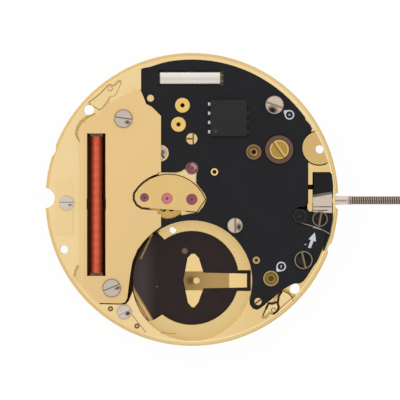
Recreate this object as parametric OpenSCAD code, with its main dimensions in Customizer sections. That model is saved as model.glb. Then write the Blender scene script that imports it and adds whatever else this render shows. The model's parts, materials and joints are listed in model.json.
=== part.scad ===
// Round quartz watch movement with hands posts below and the battery side up.
// The origin is the centre of the hands at the dial seat; +Z points to the battery side.

/* [Main plate] */
// Diameter of the flange that rests on the case ring
flange_d = 23.9; // [23.5:0.1:25]
// Diameter of the body that fits inside the case ring
fitting_d = 23.3; // [23.2:0.05:23.6]
// Height of the flange
flange_t = 0.40; // [0.3:0.05:0.55]
// Height of the whole plate
plate_t = 1.90; // [1.85:0.05:2.3]
// Height of the seat that carries the circuit board
board_seat = 1.70; // [1.66:0.02:1.78]
// Lowest height of the floor between the dial side and the train
floor_low = 0.52; // [0.5:0.01:0.56]
// Upper face of the floor under the train
floor_high = 0.80; // [0.7:0.01:0.84]
// Radius of the positioning notch at the left edge
notch_r = 0.81; // [0.5:0.05:1]
// Radius of the board's round outer edge
board_r = 11.32; // [11.1:0.02:11.4]

/* [Battery well] */
// Centre of the battery well
well_at = [0, -6.62]; // [-7:0.01:0.1]
// Diameter of the battery well
well_d = 9.74; // [9.6:0.02:9.76]
// Height of the ledge that carries the cell
well_ledge = 0.62; // [0.6:0.02:0.8]
// Centre of the hollow inside the ledge
hollow_at = [0, -6.40]; // [-6.5:0.01:0.1]
// Diameter of the hollow inside the ledge
hollow_d = 7.68; // [7.2:0.02:7.7]
// Thickness of the skin under the hollow
hollow_skin = 0.12; // [0.1:0.01:0.2]
// Thickness of the insulating disc
insulator_t = 0.16; // [0.1:0.01:0.2]
// Thickness of the contact spring
contact_t = 0.12; // [0.08:0.01:0.15]
// Width of the contact spring's arm
contact_arm_w = 1.13; // [0.8:0.01:1.3]

/* [Dial feet and pins] */
// Distance of the dial foot holes from the centre
dial_foot_r = 11.1; // [11:0.02:11.14]
// Diameter of a dial foot hole
dial_foot_d = 0.86; // [0.7:0.02:0.88]
// Angle of the first dial foot hole
dial_foot_angle = 139; // [137:0.5:140]
// Distance of the two register holes from the centre
register_r = 11.17; // [11.0:0.01:11.2]
// Diameter of a register hole
register_d = 0.69; // [0.5:0.01:0.75]
// Angle of the first register hole
register_angle = 21.4; // [20:0.1:22]

// Swing of a dial foot clamp, in degrees
foot_clamp_swing = 8; // [4:0.5:9]

/* [Circuit board] */
// Thickness of the circuit board
board_t = 0.18; // [0.12:0.01:0.19]
// Length of the chip
chip_l = 2.94; // [2.6:0.02:3.2]
// Width of the chip
chip_w = 2.94; // [2.6:0.02:3.2]
// Height of the chip above the board
chip_t = 0.34; // [0.2:0.02:0.6]
// Leads along each side of the chip
side_leads = 4; // [3:1:5]
// Diameter of the crystal can
crystal_d = 1.50; // [1.3:0.02:1.52]
// Length of the crystal can
crystal_l = 4.94; // [4.6:0.02:5.1]
// Width of the board slot over the crystal
crystal_slot_w = 1.20; // [1.06:0.02:1.24]

/* [Trimmer] */
// Centre of the trimmer
trimmer_at = [7.10, 4.05]; // [3:0.01:8]
// Outer diameter of the trimmer's body
trimmer_d = 2.30; // [2:0.02:2.5]
// Diameter of the trimmer's rotor
trimmer_rotor_d = 1.60; // [1.3:0.02:1.7]

/* [Motor] */
// Centre of the rotor
rotor_at = [-3.84, 0.15]; // [-4:0.01:0.3]
// Diameter of the rotor magnet
magnet_d = 1.10; // [0.8:0.02:1.2]
// Diameter of the stator's bore
stator_bore_d = 1.40; // [1.36:0.02:1.6]
// Thickness of the stator
stator_t = 0.30; // [0.2:0.02:0.4]
// Height of the stator's seat
stator_seat = 0.75; // [0.72:0.01:0.8]
// Middle line of the coil, from the centre
coil_x = -7.75; // [-7.8:0.01:-7.7]
// Diameter of the wound coil body
coil_d = 0.90; // [0.8:0.01:0.94]
// Length of the wound coil
coil_l = 10.90; // [10:0.05:11]
// Middle of the coil along its length
coil_y = -0.43; // [-0.5:0.01:-0.35]
// Width of the coil core
core_w = 0.60; // [0.5:0.01:0.66]
// Thickness of the coil core
core_t = 0.30; // [0.2:0.01:0.36]
// Diameter of the wire in the coil's outer layer
wire_d = 0.046; // [0.04:0.001:0.05]
// Turns of wire in the coil's outer layer
wire_turns = 24; // [10:1:24]

/* [Coil cover] */
// Thickness of the coil cover
cover_t = 0.22; // [0.15:0.01:0.3]
// Width of the window over the coil
window_w = 1.50; // [1.3:0.02:1.56]
// Length of the window over the coil
window_l = 11.57; // [11.2:0.01:11.7]

/* [Train bridge] */
// Thickness of the bridge's lower plate
bridge_low_t = 0.28; // [0.24:0.01:0.3]
// Height of the bridge's raised crescent
bridge_top = 2.10; // [2:0.02:2.2]
// Gap between the crescent and the coil cover
crescent_gap = 0.18; // [0.15:0.01:0.3]
// Outer radius of the crescent's long arc
crescent_r = 3.16; // [3.12:0.01:3.2]

/* [Going train] */
// Centre of the intermediate wheel
intermediate_at = [-2.01, 0.07]; // [-2.1:0.01:0.1]
// Centre of the third wheel
third_at = [0, 2.50]; // [-0.1:0.01:2.6]
// Leaves of the rotor pinion
rotor_leaves = 6; // [6:1:8]
// Teeth of the intermediate wheel
intermediate_teeth = 60; // [54:1:66]
// Leaves of the intermediate pinion
intermediate_leaves = 12; // [10:1:14]
// Teeth of the seconds wheel
seconds_teeth = 36; // [30:1:36]
// Leaves of the seconds pinion
seconds_leaves = 8; // [7:1:9]
// Teeth of the third wheel
third_teeth = 60; // [54:1:62]
// Leaves of the third pinion
third_leaves = 8; // [7:1:9]
// Teeth of the centre wheel
centre_teeth = 64; // [58:1:66]
// Thickness of a train wheel
wheel_t = 0.10; // [0.07:0.01:0.11]
// Clearance between a wheel's teeth and its cavity
tooth_room = 0.06; // [0.04:0.01:0.07]

/* [Motion works] */
// Centre of the minute wheel
minute_at = [2.57, 0.40]; // [0.3:0.01:2.62]
// Centre of the setting wheel
setting_at = [5.56, -0.08]; // [-0.1:0.01:5.58]
// Leaves of the cannon pinion
cannon_leaves = 12; // [11:1:13]
// Teeth of the minute wheel
minute_teeth = 36; // [34:1:36]
// Leaves of the minute pinion
minute_leaves = 10; // [9:1:11]
// Teeth of the hour wheel
hour_teeth = 40; // [38:1:40]
// Teeth of the setting wheel
setting_teeth = 20; // [18:1:20]

/* [Hand posts] */
// Diameter of the seconds arbor
seconds_d = 0.25; // [0.2:0.01:0.26]
// Outer diameter of the centre tube
centre_tube_d = 0.56; // [0.5:0.01:0.58]
// Diameter of the minute hand's seat on the cannon pinion
cannon_d = 0.90; // [0.8:0.01:0.90]
// Diameter of the cannon pinion inside the hour wheel
cannon_body_d = 1.22; // [1.2:0.01:1.24]
// Diameter of the hour hand's seat on the hour wheel
hour_pipe_d = 1.56; // [1.54:0.02:1.6]
// Reach of the hour pipe below the dial seat
hour_reach = 0.90; // [0.6:0.05:1]
// Reach of the cannon pinion below the dial seat
minute_reach = 1.35; // [1.2:0.05:1.5]
// Reach of the seconds arbor below the dial seat
seconds_reach = 1.75; // [1.6:0.05:2]
// Running clearance round a turning part
running_gap = 0.03; // [0.02:0.005:0.04]

/* [Stem and keyless works] */
// Height of the stem's axis
stem_z = 0.85; // [0.84:0.01:0.88]
// Offset of the stem's axis from the centre line
stem_y = -0.08; // [-0.12:0.01:-0.04]
// Diameter of the stem where it leaves the plate
stem_d = 0.74; // [0.66:0.01:0.8]
// Diameter of the stem's bearing shoulder
shoulder_d = 0.94; // [0.8:0.01:0.96]
// Outer end of the bearing shoulder, from the centre
shoulder_end = 11.55; // [11.5:0.01:12]
// Diameter of the stem's thread
thread_d = 0.70; // [0.6:0.01:0.74]
// End of the stem, from the centre
stem_end = 21.5; // [18:0.1:24]
// Start of the thread, from the centre
thread_start = 12.68; // [12.4:0.02:14]
// Side of the stem's square
square_w = 0.44; // [0.36:0.01:0.46]
// Diameter of the clutch
clutch_d = 1.24; // [1.16:0.01:1.28]
// Length of the clutch
clutch_l = 1.80; // [1.5:0.02:1.84]
// Travel of the clutch when the stem is pulled
clutch_travel = 0.50; // [0.4:0.01:0.5]
// Travel of the stem when it is pulled
stem_travel = 0.70; // [0.5:0.01:0.72]
// Width of the stem's groove
groove_w = 0.34; // [0.32:0.01:0.4]
// Place of the setting lever's pivot
lever_at = [10.41, -1.59]; // [-1.6:0.01:10.44]
// Thickness of the setting lever
lever_t = 0.16; // [0.12:0.01:0.18]
// Width of the two slits in the spring plate.
jumper_slit = 0.06; // [0.04:0.01:0.07]
// How far the spring plate's tongue reaches past the stem's axis.
guard_reach = 0.23; // [0.15:0.01:0.30]
// How much farther it reaches at its outer end.
guard_lean = 0.28; // [0.20:0.01:0.30]
// Width of the tongue's sloped edge.
guard_slope = 0.24; // [0.15:0.01:0.25]

/* [Screws] */
// Head diameter of the large screws
large_head_d = 1.48; // [1.3:0.02:1.56]
// Head diameter of the small screws
small_head_d = 1.20; // [1:0.02:1.3]
// Head diameter of the bridge screw
bridge_head_d = 1.04; // [0.9:0.02:1.1]
// Height of a screw head
head_t = 0.24; // [0.18:0.01:0.3]
// Shank diameter of the large screws
large_shank_d = 0.56; // [0.4:0.01:0.6]
// Shank diameter of the small screws
small_shank_d = 0.40; // [0.3:0.01:0.44]
// Width of a screw's slot
slot_w = 0.17; // [0.12:0.01:0.22]
// Clearance round a screw's shank in a plate that it clamps
screw_gap = 0.04; // [0.02:0.01:0.06]

/* [Hidden] */
$fn = 64;

eps = 0.01;
seat_gap = 0.04;
edge_r = fitting_d / 2;
board_top = board_seat + board_t;
bridge_low = board_seat - bridge_low_t;
cover_low = plate_t;
cover_top = cover_low + cover_t;
core_low = stator_seat + stator_t;
core_top = core_low + core_t;
coil_z = core_low + core_t / 2;
motor_screws = [[-5.55, 6.55], [-6.50, -7.19]];
motor_screw_turns = [-8, 22];
bridge_screw_at = [-2.55, 3.76];
board_screws_at = [[6.72, 7.67], [3.51, -2.12]];
board_screw_turns = [-20, 90];
keyless_screw_at = [9.07, -4.92];
clamp_screw_at = [-10.17, -0.29];
contact_screw_at = [-5.50, -9.14];
crystal_at = [-0.14, 9.86];
chip_at = [2.99, 6.62];
boss_at = [10.33, 4.17];
boss_r = 1.34;
pivot_at = [8.75, -1.35];
pivot_r = 0.56;

// Heights of the going train, upward from the floor.
third_z = floor_high + 0.14;
second_pinion_z = third_z - 0.04;
seconds_z = third_z + 0.20;
intermediate_pinion_z = seconds_z - 0.04;
crescent_low = bridge_low + 0.22;
intermediate_z = crescent_low - 0.08 - wheel_t;
rotor_pinion_z = intermediate_z - 0.04;

// Heights of the motion works, from the dial seat upward.
dial_cover_t = 0.05;
hour_z = dial_cover_t + 0.05;
minute_z = hour_z + 0.14;
centre_z = minute_z + 0.145;
cannon_leaf_z = minute_z - 0.02;

// Half of a tooth's width, in tooth pitches, at its root and at its tip.
tooth_root = 0.30;
tooth_tip = 0.11;

function unit(v) = v / norm(v);
function heading(a, b) = atan2(b[1] - a[1], b[0] - a[0]);
function polar(r, angle) = [r * cos(angle), r * sin(angle)];
function module_of(a, b, teeth_a, teeth_b) = 2 * norm(b - a) / (teeth_a + teeth_b);
function tip_r(m, teeth) = m * (teeth / 2 + 0.95);
function root_r(m, teeth) = m * (teeth / 2 - 1.2);

// Turn that puts a gap of the follower where the driver has a tooth.
function mesh_turn(driver, follower, driver_turn, driver_teeth, follower_teeth) =
    let (along = heading(driver, follower))
    let (phase = (driver_turn - along) * driver_teeth / 360)
    along + 180 + (0.5 - phase) * 360 / follower_teeth;

// Outline of a toothed wheel as one polygon, four points a tooth.
function toothed(m, teeth) = [
    for (k = [0 : teeth - 1], side = [0 : 3])
        let (share = [-tooth_root, -tooth_tip, tooth_tip, tooth_root][side])
        let (r = side == 0 || side == 3 ? root_r(m, teeth) : tip_r(m, teeth))
        polar(r, (k + share) * 360 / teeth)
];

// A polygon whose sides are moved outwards by a set distance; its points run anticlockwise.
function outset(points, by) = [
    for (i = [0 : len(points) - 1])
        let (before = points[(i + len(points) - 1) % len(points)])
        let (here = points[i])
        let (after = points[(i + 1) % len(points)])
        let (a = unit(here - before))
        let (b = unit(after - here))
        let (out_a = [a[1], -a[0]])
        let (out_b = [b[1], -b[0]])
        let (mid = unit(out_a + out_b))
        here + mid * by / max(0.5, mid * out_a)
];

rotor_m = module_of(rotor_at, intermediate_at, rotor_leaves, intermediate_teeth);
seconds_m = module_of(intermediate_at, [0, 0], intermediate_leaves, seconds_teeth);
third_m = module_of([0, 0], third_at, seconds_leaves, third_teeth);
centre_m = module_of(third_at, [0, 0], third_leaves, centre_teeth);
cannon_m = module_of([0, 0], minute_at, cannon_leaves, minute_teeth);
hour_m = module_of(minute_at, [0, 0], minute_leaves, hour_teeth);
setting_m = module_of(minute_at, setting_at, minute_teeth, setting_teeth);

rotor_turn = heading(rotor_at, intermediate_at);
intermediate_turn = mesh_turn(rotor_at, intermediate_at, rotor_turn, rotor_leaves, intermediate_teeth);
intermediate_pinion_turn = heading(intermediate_at, [0, 0]);
seconds_turn = mesh_turn(intermediate_at, [0, 0], intermediate_pinion_turn, intermediate_leaves,
    seconds_teeth);
seconds_pinion_turn = heading([0, 0], third_at);
third_turn = mesh_turn([0, 0], third_at, seconds_pinion_turn, seconds_leaves, third_teeth);
third_pinion_turn = heading(third_at, [0, 0]);
centre_turn = mesh_turn(third_at, [0, 0], third_pinion_turn, third_leaves, centre_teeth);
cannon_turn = heading([0, 0], minute_at);
minute_turn = mesh_turn([0, 0], minute_at, cannon_turn, cannon_leaves, minute_teeth);
minute_pinion_turn = heading(minute_at, [0, 0]);
hour_turn = mesh_turn(minute_at, [0, 0], minute_pinion_turn, minute_leaves, hour_teeth);
setting_turn = mesh_turn(minute_at, setting_at, minute_turn, minute_teeth, setting_teeth);

// Outlines, in millimetres from the centre, anticlockwise.
board_points = [[-4.08, 8.92], [-4.36, 8.55], [-4.0, 7.9], [-3.45, 7.35], [-2.9, 6.65], [-2.9, 2.20],
    [-1.27, 2.18], [-0.90, 2.27], [-0.58, 2.47], [-0.3, 2.2], [0.38, 2.2], [0.35, 1.74], [0.37, 1.32],
    [0.60, 1.01], [0.83, 0.75], [1.04, 0.44], [1.19, 0.10], [1.13, -0.16], [0.95, -0.55],
    [0.53, -1.05], [-0.15, -1.16], [-0.71, -1.27], [-1.36, -1.51], [-1.93, -1.66],
    [-2.34, -1.52], [-2.6, -1.35], [-2.9, -1.35], [-2.9, -3.0], [4.6, -5.0], [4.74, -8.5], [4.97, -8.83],
    [5.29, -8.93], [5.56, -8.80], [6.35, -8.17], [7.0, -7.68], [7.49, -7.23], [7.97, -6.95],
    [8.38, -6.78], [8.79, -6.79], [9.03, -6.63], [9.35, -6.22], [9.84, -5.41], [10.17, -5.0],
    [10.55, -4.28], [10.92, -2.75], [10.3, -2.42], [8.55, -1.98], [8.6, -0.62], [9.15, -0.6],
    [9.42, -0.3], [9.42, 2.9], [9.7, 4.2], [9.5, 4.9], [9.27, 5.2], [9.64, 5.42], [9.72, 5.72],
    [9.60, 6.02], [9.2, 6.45], [9.12, 6.9], [7, 12], [-1.6, 12], [-1.3, 11.3], [-2.58, 10.99],
    [-3.39, 10.72], [-4.08, 10.60]];
cover_points = [[-4.45, 9.05], [-6.8, 7.75], [-7.82, 6.89], [-8.39, 6.59], [-8.88, 6.14], [-9.14, 5.76],
    [-9.26, 5.35], [-9.19, 5.03], [-9.09, 4.74], [-9.09, -5.35], [-9.36, -5.9], [-9.45, -6.5],
    [-7.80, -8.20], [-7.45, -8.41],
    [-5.75, -8.45], [-5.42, -8.36], [-5.24, -8.01], [-5.11, -6.99], [-4.99, -6.02], [-4.80, -5.0],
    [-4.41, -4.08], [-3.88, -3.38], [-3.22, -2.72], [-2.5, -2.2], [-2.5, 6.77], [-3.23, 7.50],
    [-3.70, 7.75], [-3.92, 8.31], [-4.12, 8.80]];
bridge_points = [[-2.7, 0.3], [-0.85, -0.7], [-0.85, -1.3], [-0.3, -1.55], [0.6, -1.7], [2.5, -2.9],
    [4.35, -3.0], [4.35, -1.2], [2.4, 1.2], [1.3, 2.4], [0.75, 3.3], [-1.2, 4.6], [-3.1, 4.6],
    [-3.1, 2.9], [-2.7, 2.3]];
crescent_points = [[-4.50, 0.80], [-4.62, 0.35], [-4.62, 0.0], [-4.40, -0.40], [-4.02, -0.63],
    [-2.6, -0.77], [0.38, -1.0], [1.08, 0.02], [1.08, 3], [-4.5, 3]];
motor_points = [[-8.1, 6.25], [-8.85, 5.6], [-8.85, -6.3], [-8.0, -7.55], [-7.3, -8.2], [-5.8, -8.2],
    [-5.3, -7.5], [-5.1, -5.0], [-4.3, -2.6], [-3.2, -1.3], [-2.6, -0.4], [-2.6, 1.2], [-3.4, 2.6],
    [-3.9, 4.5], [-4.4, 6.1], [-4.6, 7.5], [-6.6, 7.3]];
stator_points = [[-6.15, 6.2], [-5.6, 3.0], [-5.05, 0.6], [-5.05, -0.5], [-5.75, -3.0], [-6.35, -5.0],
    [-7.2, -7.0], [-5.75, -6.9], [-5.42, -4.6], [-4.55, -2.4], [-3.1, -0.9], [-2.9, 0.9], [-4.2, 3.2],
    [-4.9, 6.4]];
core_top_pad = [[-8.05, 6.1], [-8.05, 5.55], [-6.9, 5.55], [-5.2, 5.85], [-4.8, 6.55], [-5.2, 7.25],
    [-6.5, 7.1]];
core_low_pad = [[-7.2, -7.95], [-6.1, -7.95], [-5.75, -7.2], [-6.0, -6.5], [-7.1, -6.3],
    [-8.05, -6.3], [-8.05, -7.2]];
lever_cap_points = [[edge_r - 3.0, -1.90], [edge_r - 1.34, -2.36], [edge_r - 0.68, -2.71],
    [edge_r - 1.02, -4.2], [edge_r - 0.87, -4.1], [edge_r - 0.43, -2.9], [edge_r - 0.20, -1.6],
    [edge_r - 0.20, -1.12], [edge_r - 2.20, -1.0], [edge_r - 2.55, -0.80], [edge_r - 2.95, -0.80]];
jumper_left = edge_r - 1.80;
jumper_right = edge_r - 0.23;
jumper_points = [[jumper_left, -0.66], [jumper_left, -2.35], [edge_r - 1.15, -2.5], [edge_r - 0.55, -2.3],
    [jumper_right, -1.3], [jumper_right, -0.66]];
contact_plate = [[-7.7, -8.5], [-5.35, -8.55], [-4.75, -9.6], [-3.75, -10.85], [-4.6, -10.55],
    [-6.4, -9.55]];
// Lowered band of the plate between the cover's free edge and the well.
band_points = [[-7.5, -8.40], [-5.8, -8.40], [-5.46, -8.30], [-5.30, -7.96], [-5.17, -6.98], [-5.05, -6.0],
    [-4.86, -4.96], [-4.47, -4.04], [-3.93, -3.33], [-3.26, -2.66], [-2.75, -2.32], [-2.3, -2.7],
    [-3.4, -3.6], [-4.3, -5.2], [-4.6, -7.0], [-4.86, -7.6], [-5.1, -8.2], [-5.36, -8.52], [-7.5, -8.49]];
// Crescent grooves in the plate beside the cover's two outer corners.
high_groove = [[-7.82, 7.00], [-8.51, 6.79], [-9.08, 6.37], [-9.38, 5.84], [-9.47, 5.31], [-9.32, 4.95],
    [-9.12, 4.62], [-9.02, 4.74], [-9.12, 5.03], [-9.18, 5.35], [-9.06, 5.72], [-8.82, 6.08],
    [-8.34, 6.51], [-7.78, 6.82]];
low_groove = [[-9.27, -5.31], [-9.50, -5.73], [-9.65, -6.30], [-9.61, -6.46], [-9.42, -6.22],
    [-9.28, -5.80], [-9.10, -5.43]];
// Shallow step in the flange's edge, on two opposite sides.
edge_step = [[-11.12, 4.45], [-11.09, 4.25], [-11.11, 3.93], [-11.30, 3.62], [-11.42, 3.55], [-12, 3.5],
    [-12, 4.6]];

well_r = well_d / 2;
hollow_r = hollow_d / 2;

// Basic shapes

module at(place, z = 0) {
    translate([place[0], place[1], z]) children();
}

module slab(points, low, high) {
    translate([0, 0, low]) linear_extrude(high - low) polygon(points);
}

module disc(place, r, low, high) {
    at(place, low) cylinder(r = r, h = high - low);
}

module block(low, high) {
    translate(low) cube(high - low);
}

module ring(place, outer, inner, low, high) {
    difference() {
        disc(place, outer, low, high);
        disc(place, inner, low - eps, high + eps);
    }
}

// Toothed disc with a round hole and evenly spaced lightening holes, the first of them at a heading.
module gear(place, m, teeth, turn, low, high, bore, windows = 0, first = 0) {
    rim = root_r(m, teeth) - 0.16;
    hub = bore + 0.16;
    web = (rim + hub) / 2;
    window_r = windows > 0 ? min((rim - hub) / 2, web * sin(180 / windows) - 0.07) : 0;
    at(place) rotate(turn) difference() {
        translate([0, 0, low]) linear_extrude(high - low) polygon(toothed(m, teeth));
        if (bore > 0) disc([0, 0], bore, low - eps, high + eps);
        if (windows > 0) for (k = [0 : windows - 1])
            disc(polar(web, first + k * 360 / windows), window_r, low - eps, high + eps);
    }
}

// Slotted cheese-head screw; its head rests at the seat height.
module screw(place, head_d, shank_d, seat, tip, turn, head = head_t) {
    at(place) rotate(turn) difference() {
        union() {
            translate([0, 0, seat]) cylinder(d = head_d, h = head);
            translate([0, 0, tip]) cylinder(d = shank_d, h = seat - tip + eps);
        }
        translate([-head_d, -slot_w / 2, seat + head / 2]) cube([2 * head_d, slot_w, head]);
    }
}

module shank_hole(place, d, low, high) {
    disc(place, d / 2, low, high);
}

module clearance_hole(place, d, low, high) {
    disc(place, d / 2 + screw_gap, low - eps, high + eps);
}

// Main plate

module well_shape(gap, low, high) {
    disc(well_at, well_r + gap, low, high);
}

// The left part of the well has no ledge.
module ledge_gap(low, high) {
    intersection() {
        well_shape(0, low, high);
        slab([[-2.2, -3.3], [-2.9, -2.6], [-6, -2.2], [-6, -10.4], [-3.1, -9.83], [-2.26, -9.31]], low, high);
    }
}

module arm_slot(low, high, gap = 0) {
    half = contact_arm_w / 2 + 0.29 - gap;
    block([2.5, well_at[1] - half, low], [4.81 - gap, well_at[1] + half, high]);
}

module train_cavities() {
    top = plate_t + eps;
    disc(third_at, tip_r(third_m, third_teeth) + tooth_room, floor_high, top);
    disc([0, 0], tip_r(seconds_m, seconds_teeth) + tooth_room, floor_high, top);
    disc(intermediate_at, tip_r(rotor_m, intermediate_teeth) + tooth_room, floor_high, top);
    disc(rotor_at, magnet_d / 2 + 0.10, stator_seat - 0.05, top);
}

module dial_side_cavities() {
    low = dial_cover_t + 0.01;
    wide = max(tip_r(centre_m, centre_teeth), tip_r(hour_m, hour_teeth)) + 0.10;
    disc([0, 0], wide, -eps, floor_low);
    disc(minute_at, tip_r(cannon_m, minute_teeth) + 0.10, -eps, floor_low);
    disc(setting_at, tip_r(setting_m, setting_teeth) + 0.10, -eps, floor_low);
    disc(third_at, 0.45, -eps, floor_low);
    dial_cover_outline(-eps, low, seat_gap);
}

module keyless_cavities() {
    top = plate_t + eps;
    reach = clutch_d / 2 + 0.16;
    block([clutch_pocket_low, stem_y - reach, 0.18], [clutch_pocket_high, stem_y + reach, top]);
    block([fork_x - fork_tail - clutch_travel - 0.05, stem_y - 0.72, fork_low - 0.04],
        [fork_x + fork_head + 0.05, 2.30, top]);
    slab([[window_low, -2.15], [edge_r - 0.50, -2.15], [edge_r - 0.27, -1.6], [edge_r - 0.17, -1.1],
        [edge_r - 0.17, 1.2], [edge_r - 0.27, 2.05], [edge_r - 0.45, 2.22], [window_low, 2.22]],
        lever_low - 0.03, top);
    slab(outset(jumper_points, 0.02), 1.30, top);
    bar(pilot_start - 0.03, clutch_start, pilot_r + running_gap);
    bar(clutch_end, edge_r + 1.35, shoulder_d / 2 + running_gap);
    slab([[edge_r + 0.01, stem_y + 0.43], [edge_r + 0.01, stem_y - 0.46], [edge_r + 0.24, stem_y - 0.72],
        [flange_d / 2 + 0.5, stem_y - 0.72], [flange_d / 2 + 0.5, stem_y + 0.62],
        [edge_r + 0.24, stem_y + 0.62]], -eps, top);
    block([window_low - 0.36, stem_y + 0.88, 1.3], [window_low + eps, stem_y + 1.28, top]);
}

module motor_cavities() {
    top = plate_t + eps;
    difference() {
        slab(motor_points, stator_seat, top);
        well_shape(0.28, 0, top + 1);
    }
    block([coil_x - window_w / 2, coil_y - window_l / 2, coil_z - coil_d / 2 - 0.12],
        [coil_x + window_w / 2, coil_y + window_l / 2, top]);
}

module plate_holes() {
    for (k = [0, 1]) {
        disc(polar(dial_foot_r, dial_foot_angle + 180 * k), dial_foot_d / 2, -eps, plate_t + eps);
        disc(polar(register_r, register_angle + 180 * k), register_d / 2, -eps, plate_t + eps);
    }
    disc([-1.54, -2.49], 0.27, -eps, plate_t);
    shank_hole(third_at, 2 * plate_jewel_r, floor_low - eps, floor_high + eps);
    shank_hole(intermediate_at, 2 * plate_jewel_r, floor_low - eps, floor_high + eps);
    shank_hole(rotor_at, 2 * plate_jewel_r, floor_low, stator_seat);
    shank_hole([0, 0], centre_tube_d, 0, plate_t);
    for (place = motor_screws) shank_hole(place, large_shank_d, 0.3, plate_t);
    shank_hole(bridge_screw_at, small_shank_d, 0.6, plate_t);
    for (place = board_screws_at) shank_hole(place, large_shank_d, 0.6, plate_t);
    shank_hole(keyless_screw_at, large_shank_d, 0.6, plate_t);
    shank_hole(lever_at, large_shank_d, 0.12, plate_t);
    shank_hole(clamp_screw_at, small_shank_d, 0.6, plate_t + eps);
    shank_hole(contact_screw_at, small_shank_d, 0.6, plate_t + eps);
    for (place = dial_screws_at) shank_hole(place, 0.40, -eps, 0.5);
    for (place = [minute_at, setting_at]) shank_hole(place, post_d, floor_low - eps, post_top);
    shank_hole(fork_pin_at, 0.36, 0.9, 1.3);
}

// Pockets in which the two dial foot clamps swing.
module foot_clamp_pockets() {
    for (half = [0, 1], turn = [0, 0.5, 1]) rotate(180 * half) swung(turn * foot_clamp_swing)
        foot_clamp_outline(0.06, foot_clamp_z - 0.02, plate_t + eps);
}

module main_plate() {
    color("goldenrod") {
        plate_body();
        for (half = [0, 1]) rotate(180 * half) disc(foot_clamp_at, foot_clamp_post_r, foot_clamp_z - 0.1,
            plate_t - 0.02);
    }
}

module plate_body() {
    difference() {
        union() {
            cylinder(d = flange_d, h = flange_t, $fn = 128);
            cylinder(d = fitting_d, h = plate_t, $fn = 128);
        }
        disc([-flange_d / 2, 0.11], notch_r, -eps, plate_t + eps);
        well_shape(0, well_ledge, plate_t + eps);
        disc(hollow_at, hollow_r, hollow_skin, plate_t);
        ledge_gap(hollow_skin, plate_t);
        arm_slot(hollow_skin, plate_t);
        train_cavities();
        dial_side_cavities();
        keyless_cavities();
        motor_cavities();
        plate_holes();
        foot_clamp_pockets();
        board_shape(seat_gap, board_seat, plate_t + eps);
        lever_cap_shape(seat_gap, board_seat, plate_t + eps);
        slab(outset(crescent_points, crescent_gap), crescent_low - 0.02, plate_t + eps);
        difference() {
            slab(outset(bridge_points, seat_gap), bridge_low, plate_t + eps);
            well_shape(0.12, 0, plate_t + 1);
        }
        block([crystal_at[0] - crystal_l / 2 - 0.05, crystal_at[1] - crystal_d / 2 - 0.05, crystal_low],
            [crystal_at[0] + crystal_l / 2 + 0.8, crystal_at[1] + crystal_d / 2 + 0.05, plate_t]);
        disc(trimmer_at, trimmer_d / 2 + seat_gap, trimmer_low, plate_t);
        ring(boss_at, boss_r + 0.10, boss_r, board_seat, plate_t + eps);
        slab(band_points, board_seat - 0.08, plate_t + eps);
        slab(high_groove, board_seat, plate_t + eps);
        slab(low_groove, board_seat, plate_t + eps);
        for (half = [0, 1]) rotate(180 * half) slab(edge_step, -eps, plate_t + eps);
    }
}

module lever_cap_shape(gap, low, high) {
    slab(outset(lever_cap_points, gap), low, high);
    disc(pivot_at, pivot_r + gap, low, high);
}

// Fixed bearings

plate_jewel_r = 0.30;
bridge_jewel_r = 0.46;
third_jewel_r = 0.485;
pivot_d = 0.14;
arbor_d = 0.24;
crystal_z = board_seat - 0.02 - sqrt(pow(crystal_d / 2, 2) - pow(crystal_slot_w / 2, 2));
crystal_low = crystal_z - crystal_d / 2;
trimmer_low = 1.25;
post_d = 0.40;
post_top = floor_low + 0.05;

module centre_tube() {
    color("silver") ring([0, 0], centre_tube_d / 2, seconds_d / 2 + running_gap, 0 - minute_reach / 2,
        floor_high + 0.06);
}

module plate_jewels() {
    color("deeppink") {
        ring(intermediate_at, plate_jewel_r, pivot_d / 2 + 0.02, floor_low, floor_high);
        ring(rotor_at, plate_jewel_r, pivot_d / 2 + 0.02, floor_low, stator_seat - 0.05);
        ring(third_at, plate_jewel_r, arbor_d / 2 + running_gap, floor_low, floor_high);
    }
}

// Train bridge

module crescent(gap, low, high) {
    intersection() {
        slab(outset(crescent_points, gap), low, high);
        disc([-1.88, -1.15], crescent_r + gap, low - 1, high + 1);
    }
}

// Fine groove in the lower plate along the crescent's free edge.
module crescent_line() {
    low = board_seat - 0.12;
    difference() {
        crescent(0.07, low, board_seat + eps);
        crescent(0, low - 1, board_seat + 1);
        slab([[-6, -2], [-0.5, -2], [-0.5, 1.3], [-3.2, 1.3], [-3.2, 4], [-6, 4]], low - 1, board_seat + 1);
    }
}

module train_bridge() {
    color("khaki") difference() {
        union() {
            difference() {
                slab(bridge_points, bridge_low, board_seat);
                well_shape(0.16, 0, plate_t + 1);
            }
            crescent(0, crescent_low, bridge_top);
        }
        disc(intermediate_at, tip_r(rotor_m, intermediate_teeth) + tooth_room, 0, crescent_low);
        for (place = [rotor_at, intermediate_at, [0, 0]])
            disc(place, bridge_jewel_r - (place == rotor_at ? 0.10 : 0), crescent_low - eps,
                bridge_top + eps);
        disc([0, 0], 0.45, 0, crescent_low + eps);
        disc(third_at, third_jewel_r, bridge_low - eps, board_seat + eps);
        clearance_hole(bridge_screw_at, small_shank_d, bridge_low, board_seat);
        clearance_hole(board_screws_at[1], large_shank_d, bridge_low, board_seat);
        crescent_line();
    }
}

// Ring jewel with a bored cup and a pivot hole.
module jewel(place, r, low, high) {
    difference() {
        disc(place, r, low, high);
        disc(place, pivot_d / 2 + 0.02, low - eps, high + eps);
        disc(place, r * 0.55, high - 0.10, high + eps);
    }
}

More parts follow.
